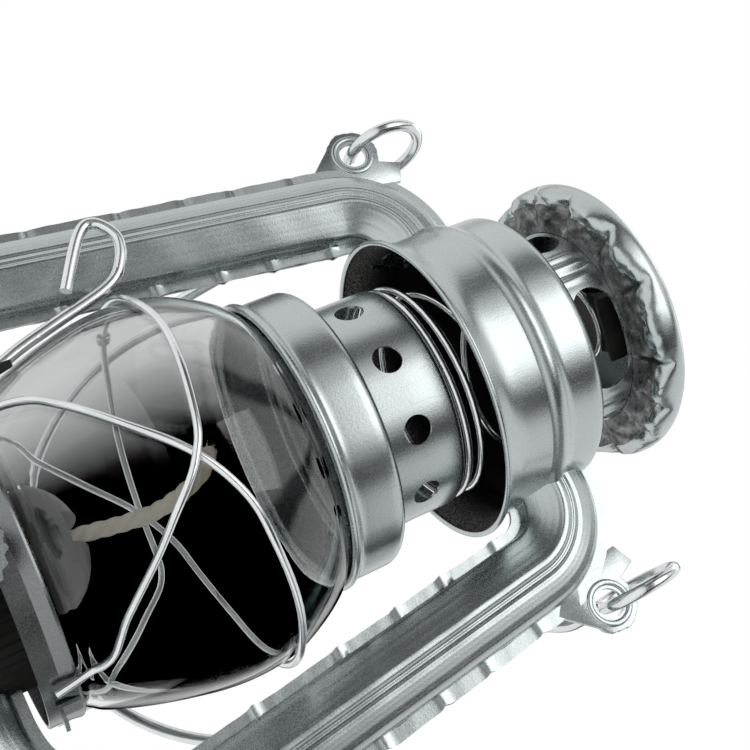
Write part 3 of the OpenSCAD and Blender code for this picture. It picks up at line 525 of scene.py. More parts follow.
# %% Frayed fibres
FIBRES = 46
FIBRE_R = 0.07
fibre_lines = []
for i in range(FIBRES):
    free = random.random() < 0.45
    at = len(line) - 1 if not free else random.randrange(20, len(line) - 2)
    ahead = line[min(at + 1, len(line) - 1)] - line[at - 1]
    ahead /= np.linalg.norm(ahead)
    angle = random.random() * math.tau
    side = np.array((0, 1, 0)) * math.cos(angle) + np.cross((0, 1, 0), ahead) * math.sin(angle)
    start = line[at] + side * WICK_R * (random.random() * 0.8 if not free else 0.9) - ahead * 0.4
    lean = ahead * (1.0 if not free else 0.5) + side * random.uniform(0.15, 0.5)
    length = random.uniform(0.8, 1.9) if not free else random.uniform(0.6, 1.3)
    bend = side * random.uniform(-0.3, 0.4)
    fibre_lines.append([start + lean * length * t + bend * length * t * t for t in (0, 0.5, 1)])
fibre_meshes = [tube("fibre", fibre, FIBRE_R, sides=0) for fibre in fibre_lines]
bm = bmesh.new()
for fibre in fibre_meshes:
    bm.from_mesh(fibre.data)
    bpy.data.objects.remove(fibre)
bmesh.ops.scale(bm, vec=(1 / MM, 1 / MM, 1 / MM), verts=bm.verts)
fray = place(from_bmesh("wick_fray", bm), "wick", rope_finish)
[tuple(q * MM) for q in wick_line]
print("wick length, mm:", round(wick_length, 1))

# %% [markdown]
# ## Turned shells
# Drum, neck, collar and band are round sheet metal, so each is an outline spun round the axis. The
# holes come off with cutters afterwards, as a punch would make them.

# %% Drum
def lifted(points, z):
    return [(r, h + z) for r, h in points]


ROUND = 240
LIP_R = 0.7
flare = [(36.75, 0.5), (36.4, 1.5), (35.7, 2.9), (35.0, 4.5), (34.55, 6.4), (34.4, 8.4)]
ridge = [(34.4, 13.2), (34.5, 14.2), (34.95, 15.4), (35.15, 16.6), (34.85, 17.8), (34.15, 19.0)]
upper_wall = [(33.62, 20.2), (33.5, 21.8), (33.5, 26)]
drum_outline = lifted(smooth(flare + ridge + upper_wall, 4)
                      + arc((30.5, 27), 3, 6, 84, 10) + [(27.5, 30.5), (24.6, 30.9)], MOUTH_Z)
drum = from_bmesh("drum_wall", turned_mesh(sheet(drum_outline, -SHEET), ROUND))
drum_lip = from_bmesh("drum_lip", turned_mesh(arc((36.3, MOUTH_Z + LIP_R), LIP_R, 0, 345, 23), ROUND))


# %% [markdown]
# ## Side tubes
# Each air tube is two pressed halves that meet at flanges. The section is swept with the same
# steps as a tube bender would take: a straight run, the lower bend, the long leaning leg, the
# upper bend and the run into the drum. Extrude makes the straights and spin makes the bends.

# %% Tube path
TUBE_W = 23.2
FLANGE_IN = 2.3
FLANGE_OUT = 3.0
DEPTH = 7.5
LEAN = 8.0
BEND_UP = 16.0
BEND_LOW = 31.6
MOUTH_X = 50.55
WINDOW_H = 17.2
tube_top_z = MOUTH_Z + WINDOW_H
tube_low_z = TANK_H + 13.0
lean_share = math.tan(math.radians(LEAN))
corner_up = np.array((MOUTH_X - lean_share * WINDOW_H, tube_top_z))
corner_low = np.array((MOUTH_X + lean_share * (MOUTH_Z - tube_low_z), tube_low_z))
tangent_up = BEND_UP * math.tan(math.radians((90 - LEAN) / 2))
tangent_low = BEND_LOW * math.tan(math.radians((90 + LEAN) / 2))
start_up = corner_up[0] - tangent_up
start_low = corner_low[0] - tangent_low
centre_up = (start_up, tube_top_z - BEND_UP)
centre_low = (start_low, tube_low_z + BEND_LOW)
straight = np.linalg.norm(corner_up - corner_low) - tangent_up - tangent_low
section_shares = [(-0.5, 0), (-0.49, 0.26), (-0.465, 0.46), (-0.41, 0.58), (-0.31, 0.71),
                  (-0.2, 0.84), (-0.09, 0.96), (-0.04, 1), (0.01, 0.97), (0.06, 0.88),
                  (0.1, 0.88), (0.15, 0.8), (0.2, 0.79), (0.3, 0.7), (0.4, 0.58),
                  (0.46, 0.44), (0.49, 0.24), (0.5, 0)]
section_w = TUBE_W - FLANGE_IN - FLANGE_OUT
section_mid = (FLANGE_IN - FLANGE_OUT) / 2


def ripple(u):
    """The small unevenness of the pressed section, away from its two edges."""
    if abs(u) >= 0.45:
        return 0
    return (0.0022 * math.sin(95 * u + 1) + 0.0018 * math.sin(57 * u + 2)
            + 0.0012 * math.sin(160 * u))


curved = [(u, v + ripple(u)) for u, v in smooth(section_shares, 5)]
half_line = ([(-TUBE_W / 2, 0.0), (-TUBE_W / 2 + 1.1, 0.0)]
             + [(section_mid + u * section_w, max(v, 0) * (DEPTH - TUBE_SHEET)) for u, v in curved]
             + [(TUBE_W / 2 - 1.5, 0.0), (TUBE_W / 2, 0.0)])
print("tube leg, mm:", round(straight, 1))


# %% One pressed half
def wave(x, seed):
    """A slow uneven wave from -1 to 1, the same on every run."""
    slow = math.sin(x * 0.31 + seed)
    middling = 0.6 * math.sin(x * 0.83 + 2.1 * seed)
    quick = 0.4 * math.sin(x * 1.7 + 4 * seed)
    return (slow + middling + quick) / 2


CRIMPS = (98.0, 121.5, 143.0, 158.5, 171.0, 186.0)
CRIMP_WIDTH = 0.9
CRIMP_IN = 0.45
CRIMP_DEEP = 0.35
WANDER = 0.16
INTO_CHAMBER = 1.6
END_X = 32.5


def outward(x, z):
    """The direction from the inside of the loop to its outside, at this place on the tube."""
    if x > centre_low[0] and z < centre_low[1] + 4:
        return Vector((x - centre_low[0], 0, z - centre_low[1])).normalized()
    if z > centre_up[1] - 2 and start_up < x < 50:
        return Vector((x - centre_up[0], 0, z - centre_up[1])).normalized()
    if z > tube_top_z - 13 and x <= start_up:
        return Vector((0, 0, 1))
    return Vector((math.cos(math.radians(LEAN)), 0, math.sin(math.radians(LEAN))))


def pressed_half(name, mirror_x, mirror_y, seed, node):
    """One half of an air tube: the section swept along the path, crimped, and mirrored."""
    bm = bmesh.new()
    start_x = CHAMBER_R - INTO_CHAMBER
    section = sheet([(u, v + TUBE_SHEET) for u, v in half_line], TUBE_SHEET * 0.92)
    verts = [bm.verts.new((start_x, -v, tube_low_z - u)) for u, v in section]
    edges = [bm.edges.new(pair) for pair in zip(verts, verts[1:] + verts[:1])]

    def pull(edges, steps, step):
        for _ in range(steps):
            made = bmesh.ops.extrude_edge_only(bm, edges=edges)["geom"]
            points = [g for g in made if isinstance(g, bmesh.types.BMVert)]
            edges = [g for g in made if isinstance(g, bmesh.types.BMEdge)]
            bmesh.ops.translate(bm, vec=step, verts=points)
        return edges

    def turn_round(edges, centre, angle, steps):
        points = list({v for e in edges for v in e.verts})
        made = bmesh.ops.spin(bm, geom=points + edges, cent=(centre[0], 0, centre[1]),
                              axis=(0, -1, 0), angle=math.radians(angle), steps=steps,
                              use_merge=False, use_duplicate=False)
        return [g for g in made["geom_last"] if isinstance(g, bmesh.types.BMEdge)]

    edges = pull(edges, 3, ((start_low - start_x) / 3, 0, 0))
    edges = turn_round(edges, centre_low, 90 + LEAN, 30)
    steps = 110
    along = Vector((-math.sin(math.radians(LEAN)), 0, math.cos(math.radians(LEAN))))
    edges = pull(edges, steps, along * (straight / steps))
    edges = turn_round(edges, centre_up, 90 - LEAN, 24)
    edges = pull(edges, 5, (-(start_up - END_X) / 5, 0, 0))

    bmesh.ops.remove_doubles(bm, verts=bm.verts, dist=1e-4)
    bm.verts.ensure_lookup_table()
    for v in bm.verts:
        x, y, z = v.co
        far = z * 0.9 + x * 0.4
        on_flange = y > -TUBE_SHEET - 0.02
        if on_flange:
            dent = sum(math.exp(-((z - at) / CRIMP_WIDTH) ** 2) for at in CRIMPS)
            sideways = outward(x, z) * (WANDER * wave(far * 0.9, seed) - CRIMP_IN * dent)
            deep = 0.04 * wave(far * 1.3, seed + 2) - CRIMP_DEEP * dent
            v.co += sideways + Vector((0, deep, 0))
        else:
            deep = WANDER * wave(far * 0.35, seed + 1) * (-y - TUBE_SHEET) / DEPTH
            v.co += Vector((0, deep, 0))
    for v in bm.verts:
        if v.co.x < END_X + 0.1 and v.co.z > 150:
            radius = 34.0 if v.co.z < MOUTH_Z + 17 else 33.4
            v.co.x = math.sqrt(radius**2 - v.co.y**2)
    bmesh.ops.holes_fill(bm, edges=[e for e in bm.edges if e.is_boundary], sides=0)
    flip = Vector((-1 if mirror_x else 1, -1 if mirror_y else 1, 1))
    bmesh.ops.scale(bm, vec=flip, verts=bm.verts)
    obj = from_bmesh(name, bm)
    return place(obj, "root", tin, [node], sharp=50)


for side, mirror_x, mirror_y, seed in (("tube_right_front", False, False, 1.0),
                                       ("tube_right_rear", False, True, 2.7),
                                       ("tube_left_front", True, False, 4.1),
                                       ("tube_left_rear", True, True, 5.9)):
    pressed_half(side + "_half", mirror_x, mirror_y, seed, side)

# %% Lugs
LUG = (63.0, MOUTH_Z + 16.0)
LUG_R = 6.7
LUG_HOLE_R = 3.4
LUG_RING_R = 4.75
RING_WIDE = 0.75
LUG_FOOT = [(57.0, 214.3), (52.0, 212.0), (54.5, 196.0), (60.6, 191.0)]
SNIPPED = 0.28
for sign in (1, -1):
    snipped = []
    for i, (x, z) in enumerate(arc(LUG, LUG_R, -60, 125, 40) + LUG_FOOT):
        out = Vector((x - 60, z - 204)).normalized() * SNIPPED * wave(i * 1.9, 3 + sign)
        snipped.append((x + out.x, -TUBE_SHEET, z + out.y))
    bm = bmesh.new()
    prism(bm, snipped, (0, 2 * TUBE_SHEET, 0))
    bmesh.ops.bevel(bm, geom=bm.edges[:], offset=0.2, segments=2, profile=0.5, material=-1,
                    affect="EDGES")
    bmesh.ops.triangulate(bm, faces=bm.faces)
    lug = from_bmesh("lug_" + ("right" if sign > 0 else "left"), bm)
    cut(lug, drill([((LUG[0], -5, LUG[1]), (0, 1, 0))], LUG_HOLE_R, 10, 48))
    if sign < 0:
        lug.data.transform(Matrix.Scale(-1, 4, (1, 0, 0)))
        lug.data.flip_normals()
    place(lug, "root", tin)
    for face_y in (-TUBE_SHEET, TUBE_SHEET):
        bm = turned_mesh(arc((LUG_RING_R, 0), RING_WIDE, 0, 330, 11), 64)
        upright = Matrix.Rotation(math.pi / 2, 3, "X")
        bmesh.ops.rotate(bm, cent=(0, 0, 0), matrix=upright, verts=bm.verts)
        bmesh.ops.scale(bm, vec=(1, 0.5, 1), verts=bm.verts)
        bmesh.ops.translate(bm, vec=(sign * LUG[0], face_y, LUG[1]), verts=bm.verts)
        place(from_bmesh("lug_press", bm), "root", tin, sharp=60)

# %% Drum windows and finish
window_line = [(u, max(v - TUBE_SHEET, 0)) for u, v in half_line[2:-2]]
bm = bmesh.new()
window_ring = [(u, -v) for u, v in window_line] + window_line[::-1]
for sign in (1, -1):
    prism(bm, [(sign * 27, v, tube_top_z + u) for u, v in window_ring], (sign * 12, 0, 0))
cut(drum, from_bmesh("cutter", bm, weld=1e-8))
place(drum, "root", tin, ["drum_shell"])
# Inner faces, and faces pointing down under the drum's top, take the inside finish, whose dark is
# painted shade.
drum.data.materials.append(tin_inside_painted_shade)
for polygon in drum.data.polygons:
    at = polygon.center / MM
    facing = polygon.normal.x * at.x + polygon.normal.y * at.y
    faces_in = facing < -0.3 * math.hypot(at.x, at.y)
    faces_down = polygon.normal.z < -0.3 and at.z > MOUTH_Z + 20
    if faces_in or faces_down:
        polygon.material_index = 1
place(drum_lip, "root", tin)

# %% Solder seams
SEAM_R = 0.55


def wall_radius(h):
    """The drum's outer radius at a height above its mouth: wall, ridge and upper wall."""
    if h > 20:
        return 33.75
    return 34.55 if h < 14 or h > 19 else 35.1


for sign in (1, -1):
    seam = []
    for u, v in window_ring:
        wall = wall_radius(WINDOW_H + u)
        grown = v + math.copysign(0.5, v)
        seam.append((sign * math.sqrt(wall**2 - grown**2), grown, tube_top_z + u))
    swell = [1 + 0.35 * wave(i * 1.1, 2 + sign) for i in range(len(seam))]
    solder = tube("seam_" + ("right" if sign > 0 else "left"), seam, SEAM_R, cyclic=True,
                  sides=3, swell=swell)
    place(solder, "root", tin, sharp=60)

# %% [markdown]
# ## Hood
# The chimney neck has four long slots between ribbed columns. The cap above rolls round at its rim
# and folds back in wrinkles where the sheet had to gather: each lobe swells out and a sharp crease
# parts it from the next.

# %% Neck
SLOT_AZ = -61.5
SLOT_R = 5.5
SLOT_SPAN = 59
COLUMN_SPAN = 27
RIB_SPAN = 9
RIB_DEEP = 0.55
neck_line = [(NECK_R, NECK_Z - 0.7 + i) for i in range(15)] + [(NECK_R, NECK_TOP)]
neck_mesh = turned_mesh(sheet(neck_line, -SHEET), 288)
for v in neck_mesh.verts:
    from_column = (math.degrees(math.atan2(v.co.y, v.co.x)) - SLOT_AZ) % 90 - 45
    if abs(from_column) < COLUMN_SPAN / 2:
        above = min(1, max(0, (v.co.z - NECK_Z - 1.2) / 2))
        below = min(1, max(0, (NECK_TOP - 0.8 - v.co.z) / 2))
        rib = (RIB_DEEP * math.cos(math.tau * from_column / RIB_SPAN)
               * math.cos(math.pi * from_column / COLUMN_SPAN) * above * below)
        grow = 1 + rib / math.hypot(v.co.x, v.co.y)
        v.co.x *= grow
        v.co.y *= grow
neck = from_bmesh("chimney_neck", neck_mesh)
slot_z = NECK_Z + NECK_H / 2 + SHEET
half = NECK_R * math.sin(math.radians(SLOT_SPAN / 2)) - SLOT_R
slot_ring = arc((half, 0), SLOT_R, -90, 90, 16) + arc((-half, 0), SLOT_R, 90, 270, 16)
punches = []
for i in range(4):
    bm = bmesh.new()
    prism(bm, [(18, y, z + slot_z) for y, z in slot_ring], (9, 0, 0))
    round_to = Matrix.Rotation(math.radians(SLOT_AZ + 90 * i), 3, "Z")
    bmesh.ops.rotate(bm, cent=(0, 0, 0), matrix=round_to, verts=bm.verts)
    punches.append(from_bmesh("cutter", bm))
cut(neck, *punches)
place(neck, "root", tin, ["hood_neck"])

# %% Hood cap
LOBES = 14
ROLL_END = 48
hood_top = ROLL_Z + ROLL_R
roll_end_r = ROLL_OUT + ROLL_R * math.cos(math.radians(ROLL_END))
roll_end_z = ROLL_Z - ROLL_R * math.sin(math.radians(ROLL_END))
fold = [(roll_end_r * (1 - s) + (NECK_R + 0.1) * s, roll_end_z * (1 - s) + (NECK_TOP - 0.4) * s)
        for s in np.linspace(0.1, 1, 12)]
hood_outline = (smooth([(0, hood_top - 0.05), (15, hood_top - 0.3), (24.7, hood_top - 1)], 5)
                + arc((ROLL_OUT, ROLL_Z), ROLL_R, 88, -ROLL_END, 16) + fold)
bm = turned_mesh(sheet(hood_outline, SHEET * 0.75), LOBES * 28)
for v in bm.verts:
    r = math.hypot(v.co.x, v.co.y)
    if r < NECK_R - 0.5 or v.co.z > ROLL_Z + 0.5:
        continue
    angle = math.atan2(v.co.y, v.co.x)
    uneven = 0.25 * math.sin(3 * angle + 1) + 0.2 * math.sin(5 * angle + 2)
    phase = (angle * LOBES / math.tau + 0.5 * uneven) % 1.0
    lobe = math.sin(math.pi * phase) ** 0.5
    into = min(1, max(0, (ROLL_Z - 0.6 - v.co.z) / 2.6)) * min(1, max(0, (r - NECK_R - 0.2) / 2.5))
    crumple = (0.22 * math.sin(23 * angle + 1.3 * r) + 0.16 * math.sin(41 * angle - 2.1 * r)
               + 0.12 * math.sin(67 * angle + 3.7 * r))
    v.co.z += (1.6 - 3.0 * lobe + 0.6 * uneven + crumple) * into
    push = (lobe - 0.6) * 1.2 * into
    v.co.x += push * math.cos(angle)
    v.co.y += push * math.sin(angle)
hood = place(from_bmesh("hood_cap_top", bm), "root", tin, ["hood_cap"], sharp=60)
hood.data.materials.append(crushed)
for polygon in hood.data.polygons:
    middle = polygon.center / MM
    if middle.z < ROLL_Z - 1.9 and math.hypot(middle.x, middle.y) < ROLL_OUT + 1.0:
        polygon.material_index = 1

# %% Collar
HOLES = 10
HOLE_R = 3.3
HOLE_H = 8.7
HOLE_AZ = -130.3
EDGE_R = 1.5
collar_outline = [(COLLAR_R + 1.3, BAND_TOP + 0.05), (COLLAR_R + 1.25, BAND_TOP + 0.9),
                  (COLLAR_R + 0.7, BAND_TOP + 1.4), (COLLAR_R, BAND_TOP + 1.7),
                  (COLLAR_R, BAND_TOP + 9), (COLLAR_R, COLLAR_TOP - EDGE_R)]
collar_outline += arc((COLLAR_R - EDGE_R, COLLAR_TOP - EDGE_R), EDGE_R, 15, 90, 8)
collar = from_bmesh("collar_wall", turned_mesh(sheet(collar_outline, -TUBE_SHEET), ROUND))
holes = []
for i in range(HOLES):
    azimuth = math.radians(HOLE_AZ + 360 / HOLES * i)
    holes.append(((0, 0, BAND_TOP + HOLE_H), (math.cos(azimuth), math.sin(azimuth), 0)))
cut(collar, drill(holes, HOLE_R, 32, 48))
place(collar, "carriage", tin, ["collar_tube"])

# %% Band, and the finishes of the CAD nodes that stay
BEAD_R = 0.95
BAND_R = 33.2
STEP_R = 2.6
band_low = BAND_TOP - BAND_H
band_outline = (arc((33.4, band_low + BEAD_R), BEAD_R, -160, 60, 12)
                + smooth([(33.6, band_low + 2.2), (BAND_R, band_low + 2.9), (BAND_R, band_low + 5)], 3)
                + [(BAND_R, BAND_TOP - 5), (BAND_R, BAND_TOP - 3.6)]
                + arc((30.6, BAND_TOP - STEP_R), STEP_R, 8, 88, 10)
                + [(27.9, BAND_TOP - 0.05), (25.0, BAND_TOP)])
band = from_bmesh("band_ring", turned_mesh(sheet(band_outline, -SHEET * 0.8), 192))
place(band, "carriage", tin, ["globe_band"])
# The globe plate takes the darker copy of the tin, which is painted shade.
dress(tin_painted_shade, "globe_plate")
dress(tin, "tank_base", "tank_shell", "filler_neck", "filler_cap", "wick_knob", "lift_tab", "plate_tab")
# The spring strap takes the dark steel, which is painted shade.
dress(dark_steel, "spring_strap")
# The burner chamber takes the near-black steel as painted shade, and the lever bracket takes the same.
dress(black_steel_and_shade, "burner_chamber", "lever_bracket")
# The burner parts take the dark steel, which is painted shade.
dress(dark_steel, "burner_cup", "wick_tube", "burner_dome", "wick_wheel")
dress(wire_finish, "lever_pin", "wick_shaft")
dress(rubber, "cap_gasket")
dress(rope_finish, "wick_tail")

# %% [markdown]
# ## Globe
# The glass is one closed outline, outside and inside, spun round the axis.

# %% Globe
glass_shares = [(0, 0.742), (0.029, 0.752), (0.056, 0.785), (0.095, 0.829), (0.2, 0.897),
                (0.307, 0.949), (0.413, 0.988), (0.519, 1), (0.624, 0.977), (0.717, 0.909),
                (0.785, 0.836), (0.822, 0.772), (0.85, 0.748), (0.9, 0.738), (1, 0.716)]
glass_line = smooth([(r * GLOBE_R, GLASS_Z + h * GLOBE_H) for h, r in glass_shares], 6)
globe = from_bmesh("globe_glass", turned_mesh(sheet(glass_line, -GLASS_T), 192))
place(globe, "carriage", glass, ["globe"], sharp=70)
glass_heights = [q[1] for q in glass_line]
glass_radii = [q[0] for q in glass_line]

# %% [markdown]
# ## Wires
# Guard wires, lever, bail and spring are all round wire. Each is a curve with a round bevel,
# turned into a mesh.

# %% Guard wires
def wire(name, body, node, points, radius, sides):
    """A piece of round wire that stands for one CAD node."""
    made = tube(name, points, radius, sides=sides)
    return place(made, body, wire_finish, [node], sharp=60)


guard_low = PLATE_Z + 2.7
guard_high = BAND_TOP - BAND_H
right_shares = [(-145, -0.07), (-140, 0.06), (-132, 0.18), (-122, 0.27), (-108, 0.4), (-94, 0.55),
                (-80, 0.645), (-66, 0.68), (-45, 0.71), (-20, 0.715), (0, 0.715), (20, 0.715),
                (45, 0.71), (66, 0.68), (80, 0.645), (94, 0.55), (108, 0.4), (124, 0.25),
                (136, 0.18), (146, 0.06), (152, -0.07)]
left_shares = [(-152, -0.07), (-146, 0.1), (-131, 0.2), (-112, 0.39), (-100, 0.53), (-88, 0.57),
               (-60, 0.585), (-30, 0.61), (-7, 0.618), (0, 0.62), (30, 0.635), (60, 0.66),
               (88, 0.6), (100, 0.53), (112, 0.39), (131, 0.2), (146, 0.1), (152, -0.07)]
HOP = 2 * GUARD_R + GUARD_GAP
RIGHT_AZ = 12
LEFT_AZ = 180
CLIP_AZ = -7
CLIP_H = 0.618
CLIP_R = 0.42
CLIP_LONG = 4.4
left_hops = [(-82, HOP), (104.5, HOP), (CLIP_AZ, 0.75)]


def guard_point(q, middle, hops):
    """A place on a guard wire from its azimuth and share of height. It lies on the glass, clears
    the plate at its foot, and hops over the other wire."""
    z = guard_low + q[1] * (guard_high - guard_low)
    foot = max(0, (0.08 - q[1]) / 0.15)
    near = [(1 - min(1, abs(q[0] - az) / 24), height) for az, height in hops]
    on_glass = np.interp(z, glass_heights, glass_radii) + GUARD_GAP + GUARD_R
    r = max(on_glass, (PLATE_R + GUARD_GAP + GUARD_R) * min(1, foot * 4))
    r += max(height * up * up * (3 - 2 * up) for up, height in near)
    a = math.radians(q[0] + middle)
    return np.array((r * math.cos(a), r * math.sin(a), z))


guard_right = [guard_point(q, RIGHT_AZ, [(0, 0)]) for q in smooth(right_shares, 9)]
guard_left = [guard_point(q, LEFT_AZ, left_hops) for q in smooth(left_shares, 9)]
wire("guard_right", "carriage", "guard_wire_right", guard_right, GUARD_R, 5)
wire("guard_left", "carriage", "guard_wire_left", guard_left, GUARD_R, 5)
clip_at = Vector(guard_point((CLIP_AZ, CLIP_H), LEFT_AZ, left_hops))
clip_turned = math.radians(LEFT_AZ + CLIP_AZ)
away = Vector((math.cos(clip_turned), math.sin(clip_turned), 0))
along = Vector((-away.y, away.x, 0))
clip_line = []
for t in np.linspace(0, CLIP_LONG, 90):
    round_wire = away * math.cos(t * 7) + Vector((0, 0, 1)) * math.sin(t * 7)
    clip_line.append(clip_at + along * (t - CLIP_LONG / 2) * 0.7 + round_wire * (GUARD_R + 0.5))
wire("clip_twist", "carriage", "guard_clip", clip_line, CLIP_R, 3)

# %% Lever
PIVOT = (-29.0, 80.5)
LEVER_Y = -21.0
HANDLE = 54.3
ARM = 13
ARM_DROP = math.radians(20)
handle_shares = [(-0.278, 0.724), (-0.484, 0.862), (-0.517, 0.939), (-0.431, 1), (-0.322, 0.969),
                 (-0.238, 0.88), (-0.169, 0.646), (-0.122, 0.486), (-0.079, 0.372),
                 (-0.007, 0.169), (0, 0)]
lever_line = [np.array((PIVOT[0] + x * HANDLE, LEVER_Y, PIVOT[1] + z * HANDLE))
              for x, z in smooth(handle_shares, 8)]
tip = np.array((PIVOT[0] + ARM * math.cos(ARM_DROP), LEVER_Y, PIVOT[1] - ARM * math.sin(ARM_DROP)))
arm = smooth([lever_line[-1], lever_line[-1] * 0.5 + tip * 0.5, tip - (0.6, 0, 0),
              tip - (0, 1.0, 0), tip - (0, 3.6, 0)], 6)
wire("lever_wire", "lift_lever", "lift_lever", lever_line + arm[1:], LEVER_R, 6)

# %% Bail
EYE_R = 9.8
EYE_Z = 213.43
TWIST = math.radians(8)
BAIL_HALF = 55.0
BAIL_LEG = 75.3
EYE_OUT = 62.8
BAIL_Y = 3
BAIL_REST = 25


def twisted(p):
    """A point of the eye, turned a little about the upright, as the wire is wound."""
    x, y, z = p
    return np.array((x * math.cos(TWIST) - y * math.sin(TWIST),
                     x * math.sin(TWIST) + y * math.cos(TWIST), z))


leg_start = 1.6 * EYE_R + 2
side_line = [np.array((EYE_OUT, 0, 0)) + twisted((0, EYE_R * math.sin(a), -EYE_R * math.cos(a)))
             for a in np.radians(np.arange(332, 0, -6))]
side_line += smooth([(EYE_OUT, -EYE_R * 0.22, -EYE_R * 1.05), (EYE_OUT, -0.4, -leg_start),
                     (BAIL_HALF + 3.5, 0, -leg_start - 8), (BAIL_HALF, 0, -leg_start - 17),
                     (BAIL_HALF, 0, -50), (BAIL_HALF, 0, -BAIL_LEG)], 8)
far_loop = [np.array((BAIL_HALF * math.cos(a), 0, -BAIL_LEG - BAIL_HALF * math.sin(a)))
            for a in np.radians(np.arange(4, 180, 4))]
other_side = [q * np.array((-1, 1, 1)) for q in side_line[::-1]]
swing = np.array(Matrix.Rotation(math.radians(BAIL_REST), 3, "X"))
bail_line = [swing @ q + np.array((0, BAIL_Y, EYE_Z)) for q in side_line + far_loop + other_side]
wire("bail_wire", "bail", "bail", bail_line, BAIL_R, 6)

# %% Spring
TURNS = 5
CLOSE_TURNS = 1.25
CLOSE_PITCH = 3.2
TURN_STEPS = 48
WIDE_R = COLLAR_R - 1.2
NARROW_R = 9
strap_z = ROLL_Z - SHEET
spring_bottom = COLLAR_TOP + 0.9
spring_top = strap_z - 0.9
open_rise = spring_top - spring_bottom - CLOSE_PITCH * CLOSE_TURNS
spring_line = []
for i in range(TURNS * TURN_STEPS + 1):
    t = i / TURN_STEPS
    close = CLOSE_PITCH * min(CLOSE_TURNS, max(0, t - 0.5))
    lift = min(1, max(0, (t - 0.5 - CLOSE_TURNS) / (TURNS - 1.0 - CLOSE_TURNS)))
    r = WIDE_R + (NARROW_R - WIDE_R) * lift
    turned = math.tau * t + math.pi / 2
    spring_line.append((r * math.cos(turned), r * math.sin(turned),
                        spring_bottom + close + open_rise * lift * lift * (3 - 2 * lift)))
spring = wire("spring_wire", "root", "collar_spring", spring_line, SPRING_R, 4)
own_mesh(spring)

# %% [markdown]
# ## Floor, world and lamps
# The photograph has a pure white background, so the world and the floor are white wherever the
# camera, a reflection or a ray through glass meets them, and the floor still takes a shadow. Four
# dark gaps in the world, as between the boxes of a studio, and a darker low front draw the dark
# bands on the round walls. Only reflections and rays through glass see them. A dark card behind
# the globe is there for rays through glass alone, and adds to the gap in front of it.

# %% Floor
bm = bmesh.new()
bmesh.ops.create_grid(bm, x_segments=1, y_segments=1, size=1500)
floor = from_bmesh("floor", bm)
paper = Finish("floor_paper", Roughness=0.9, Emission_Color=(1, 1, 1, 1))
ray = paper.tree.nodes.new("ShaderNodeLightPath")
camera_ray, glossy_ray, glass_ray = [
    Part(paper, ray.outputs[kind])
    for kind in ("Is Camera Ray", "Is Glossy Ray", "Is Transmission Ray")]
shown = paper.node("ShaderNodeMath", {"operation": "ADD", "use_clamp": True},
                   {0: camera_ray + glossy_ray, 1: glass_ray})
paper.drive("Base Color", paper.mix(shown, (0.62, 0.62, 0.62, 1), (0.93, 0.93, 0.93, 1)))
paper.drive("Emission Strength", shown * 0.5)
floor.data.materials.append(paper.material)

# %% World
world = bpy.data.worlds.new("studio")
bpy.context.scene.world = world
world.use_nodes = True
tree = world.node_tree
tree.nodes.clear()
path = tree.nodes.new("ShaderNodeLightPath")
reflected = path.outputs["Is Glossy Ray"]
through_glass = path.outputs["Is Transmission Ray"]


def world_math(operation, first, second=0.0, third=0.0):
    made = tree.nodes.new("ShaderNodeMath")
    made.operation = operation
    for i, value in enumerate((first, second, third)):
        if isinstance(value, bpy.types.NodeSocket):
            tree.links.new(value, made.inputs[i])
        else:
            made.inputs[i].default_value = value
    return made.outputs[0]


def eased(value, start, end, level):
    """The level below the start, 1 above the end, and a soft step between them."""
    step = tree.nodes.new("ShaderNodeMapRange")
    step.interpolation_type = "SMOOTHSTEP"
    tree.links.new(value, step.inputs["Value"])
    step.inputs["From Min"].default_value = start
    step.inputs["From Max"].default_value = end
    step.inputs["To Min"].default_value = level
    step.inputs["To Max"].default_value = 1
    return step.outputs["Result"]


def dark_gap(azimuth, half_width, level, soft=0.4):
    """1 away from the azimuth, and the level within the half width of it, in degrees."""
    from_middle = world_math("SUBTRACT", around, math.radians(azimuth))
    turned = world_math("WRAP", from_middle, math.pi, -math.pi)
    return eased(world_math("ABSOLUTE", turned), math.radians(half_width * (1 - soft)),
                 math.radians(half_width * (1 + soft)), level)


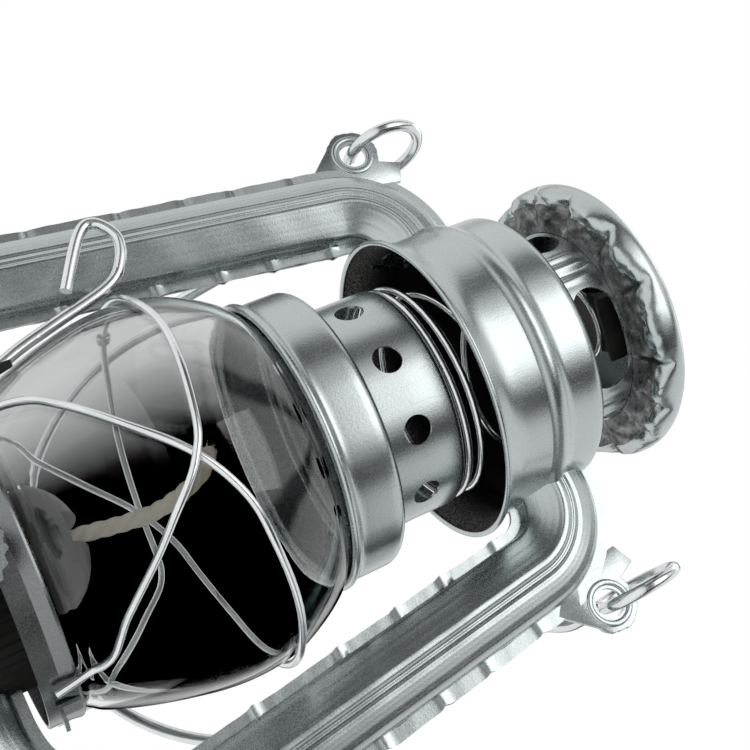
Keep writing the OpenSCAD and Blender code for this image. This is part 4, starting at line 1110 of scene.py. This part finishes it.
direction = tree.nodes.new("ShaderNodeTexCoord")
parts = tree.nodes.new("ShaderNodeSeparateXYZ")
tree.links.new(direction.outputs["Generated"], parts.inputs[0])
around = world_math("ARCTAN2", parts.outputs["Y"], parts.outputs["X"])
low_sky = eased(parts.outputs["Z"], math.sin(math.radians(8)), math.sin(math.radians(25)), 0.22)
gaps = world_math("MAXIMUM", dark_gap(-35, 95, 0, 0.15), low_sky)
for azimuth, half_width, depth in ((-136, 13, 0.12), (-33, 13, 0.03), (148, 7, 0.55), (97, 13, 0.12)):
    gaps = world_math("MULTIPLY", gaps, dark_gap(azimuth, half_width, depth))
card = dark_gap(84, 24, 0.12, 0.45)
by_gaps = world_math("MULTIPLY", reflected, world_math("SUBTRACT", 1.0, gaps))
by_card = world_math("MULTIPLY", through_glass, world_math("SUBTRACT", 1.0, card))
level = world_math("SUBTRACT", world_math("SUBTRACT", 1.0, by_gaps), by_card)
room = tree.nodes.new("ShaderNodeBackground")
room.inputs["Color"].default_value = (0.5, 0.505, 0.51, 1)
white = tree.nodes.new("ShaderNodeBackground")
white.inputs["Color"].default_value = (1, 1, 1, 1)
tree.links.new(level, white.inputs["Strength"])
mixed = tree.nodes.new("ShaderNodeMixShader")
out = tree.nodes.new("ShaderNodeOutputWorld")
seen = world_math("MAXIMUM", path.outputs["Is Camera Ray"], through_glass)
tree.links.new(world_math("MAXIMUM", seen, reflected), mixed.inputs[0])
tree.links.new(room.outputs[0], mixed.inputs[1])
tree.links.new(white.outputs[0], mixed.inputs[2])
tree.links.new(mixed.outputs[0], out.inputs[0])


# %% Lamps
def soft_box(name, place_mm, aim_mm, width, height, brightness):
    data = bpy.data.lights.new(name, "AREA")
    data.shape = "RECTANGLE"
    data.size = width * MM
    data.size_y = height * MM
    data.energy = brightness * width * height * MM * MM * math.pi
    lamp = bpy.data.objects.new(name, data)
    lamp.location = Vector(place_mm) * MM
    aim = (Vector(aim_mm) - Vector(place_mm)).normalized()
    lamp.rotation_euler = aim.to_track_quat("-Z", "Y").to_euler()
    bpy.context.scene.collection.objects.link(lamp)
    return lamp


soft_box("box_front", (90, -540, 570), (0, 0, 190), 520, 400, 1.5)
soft_box("box_top", (-80, 200, 800), (0, 0, 160), 400, 300, 1.0)
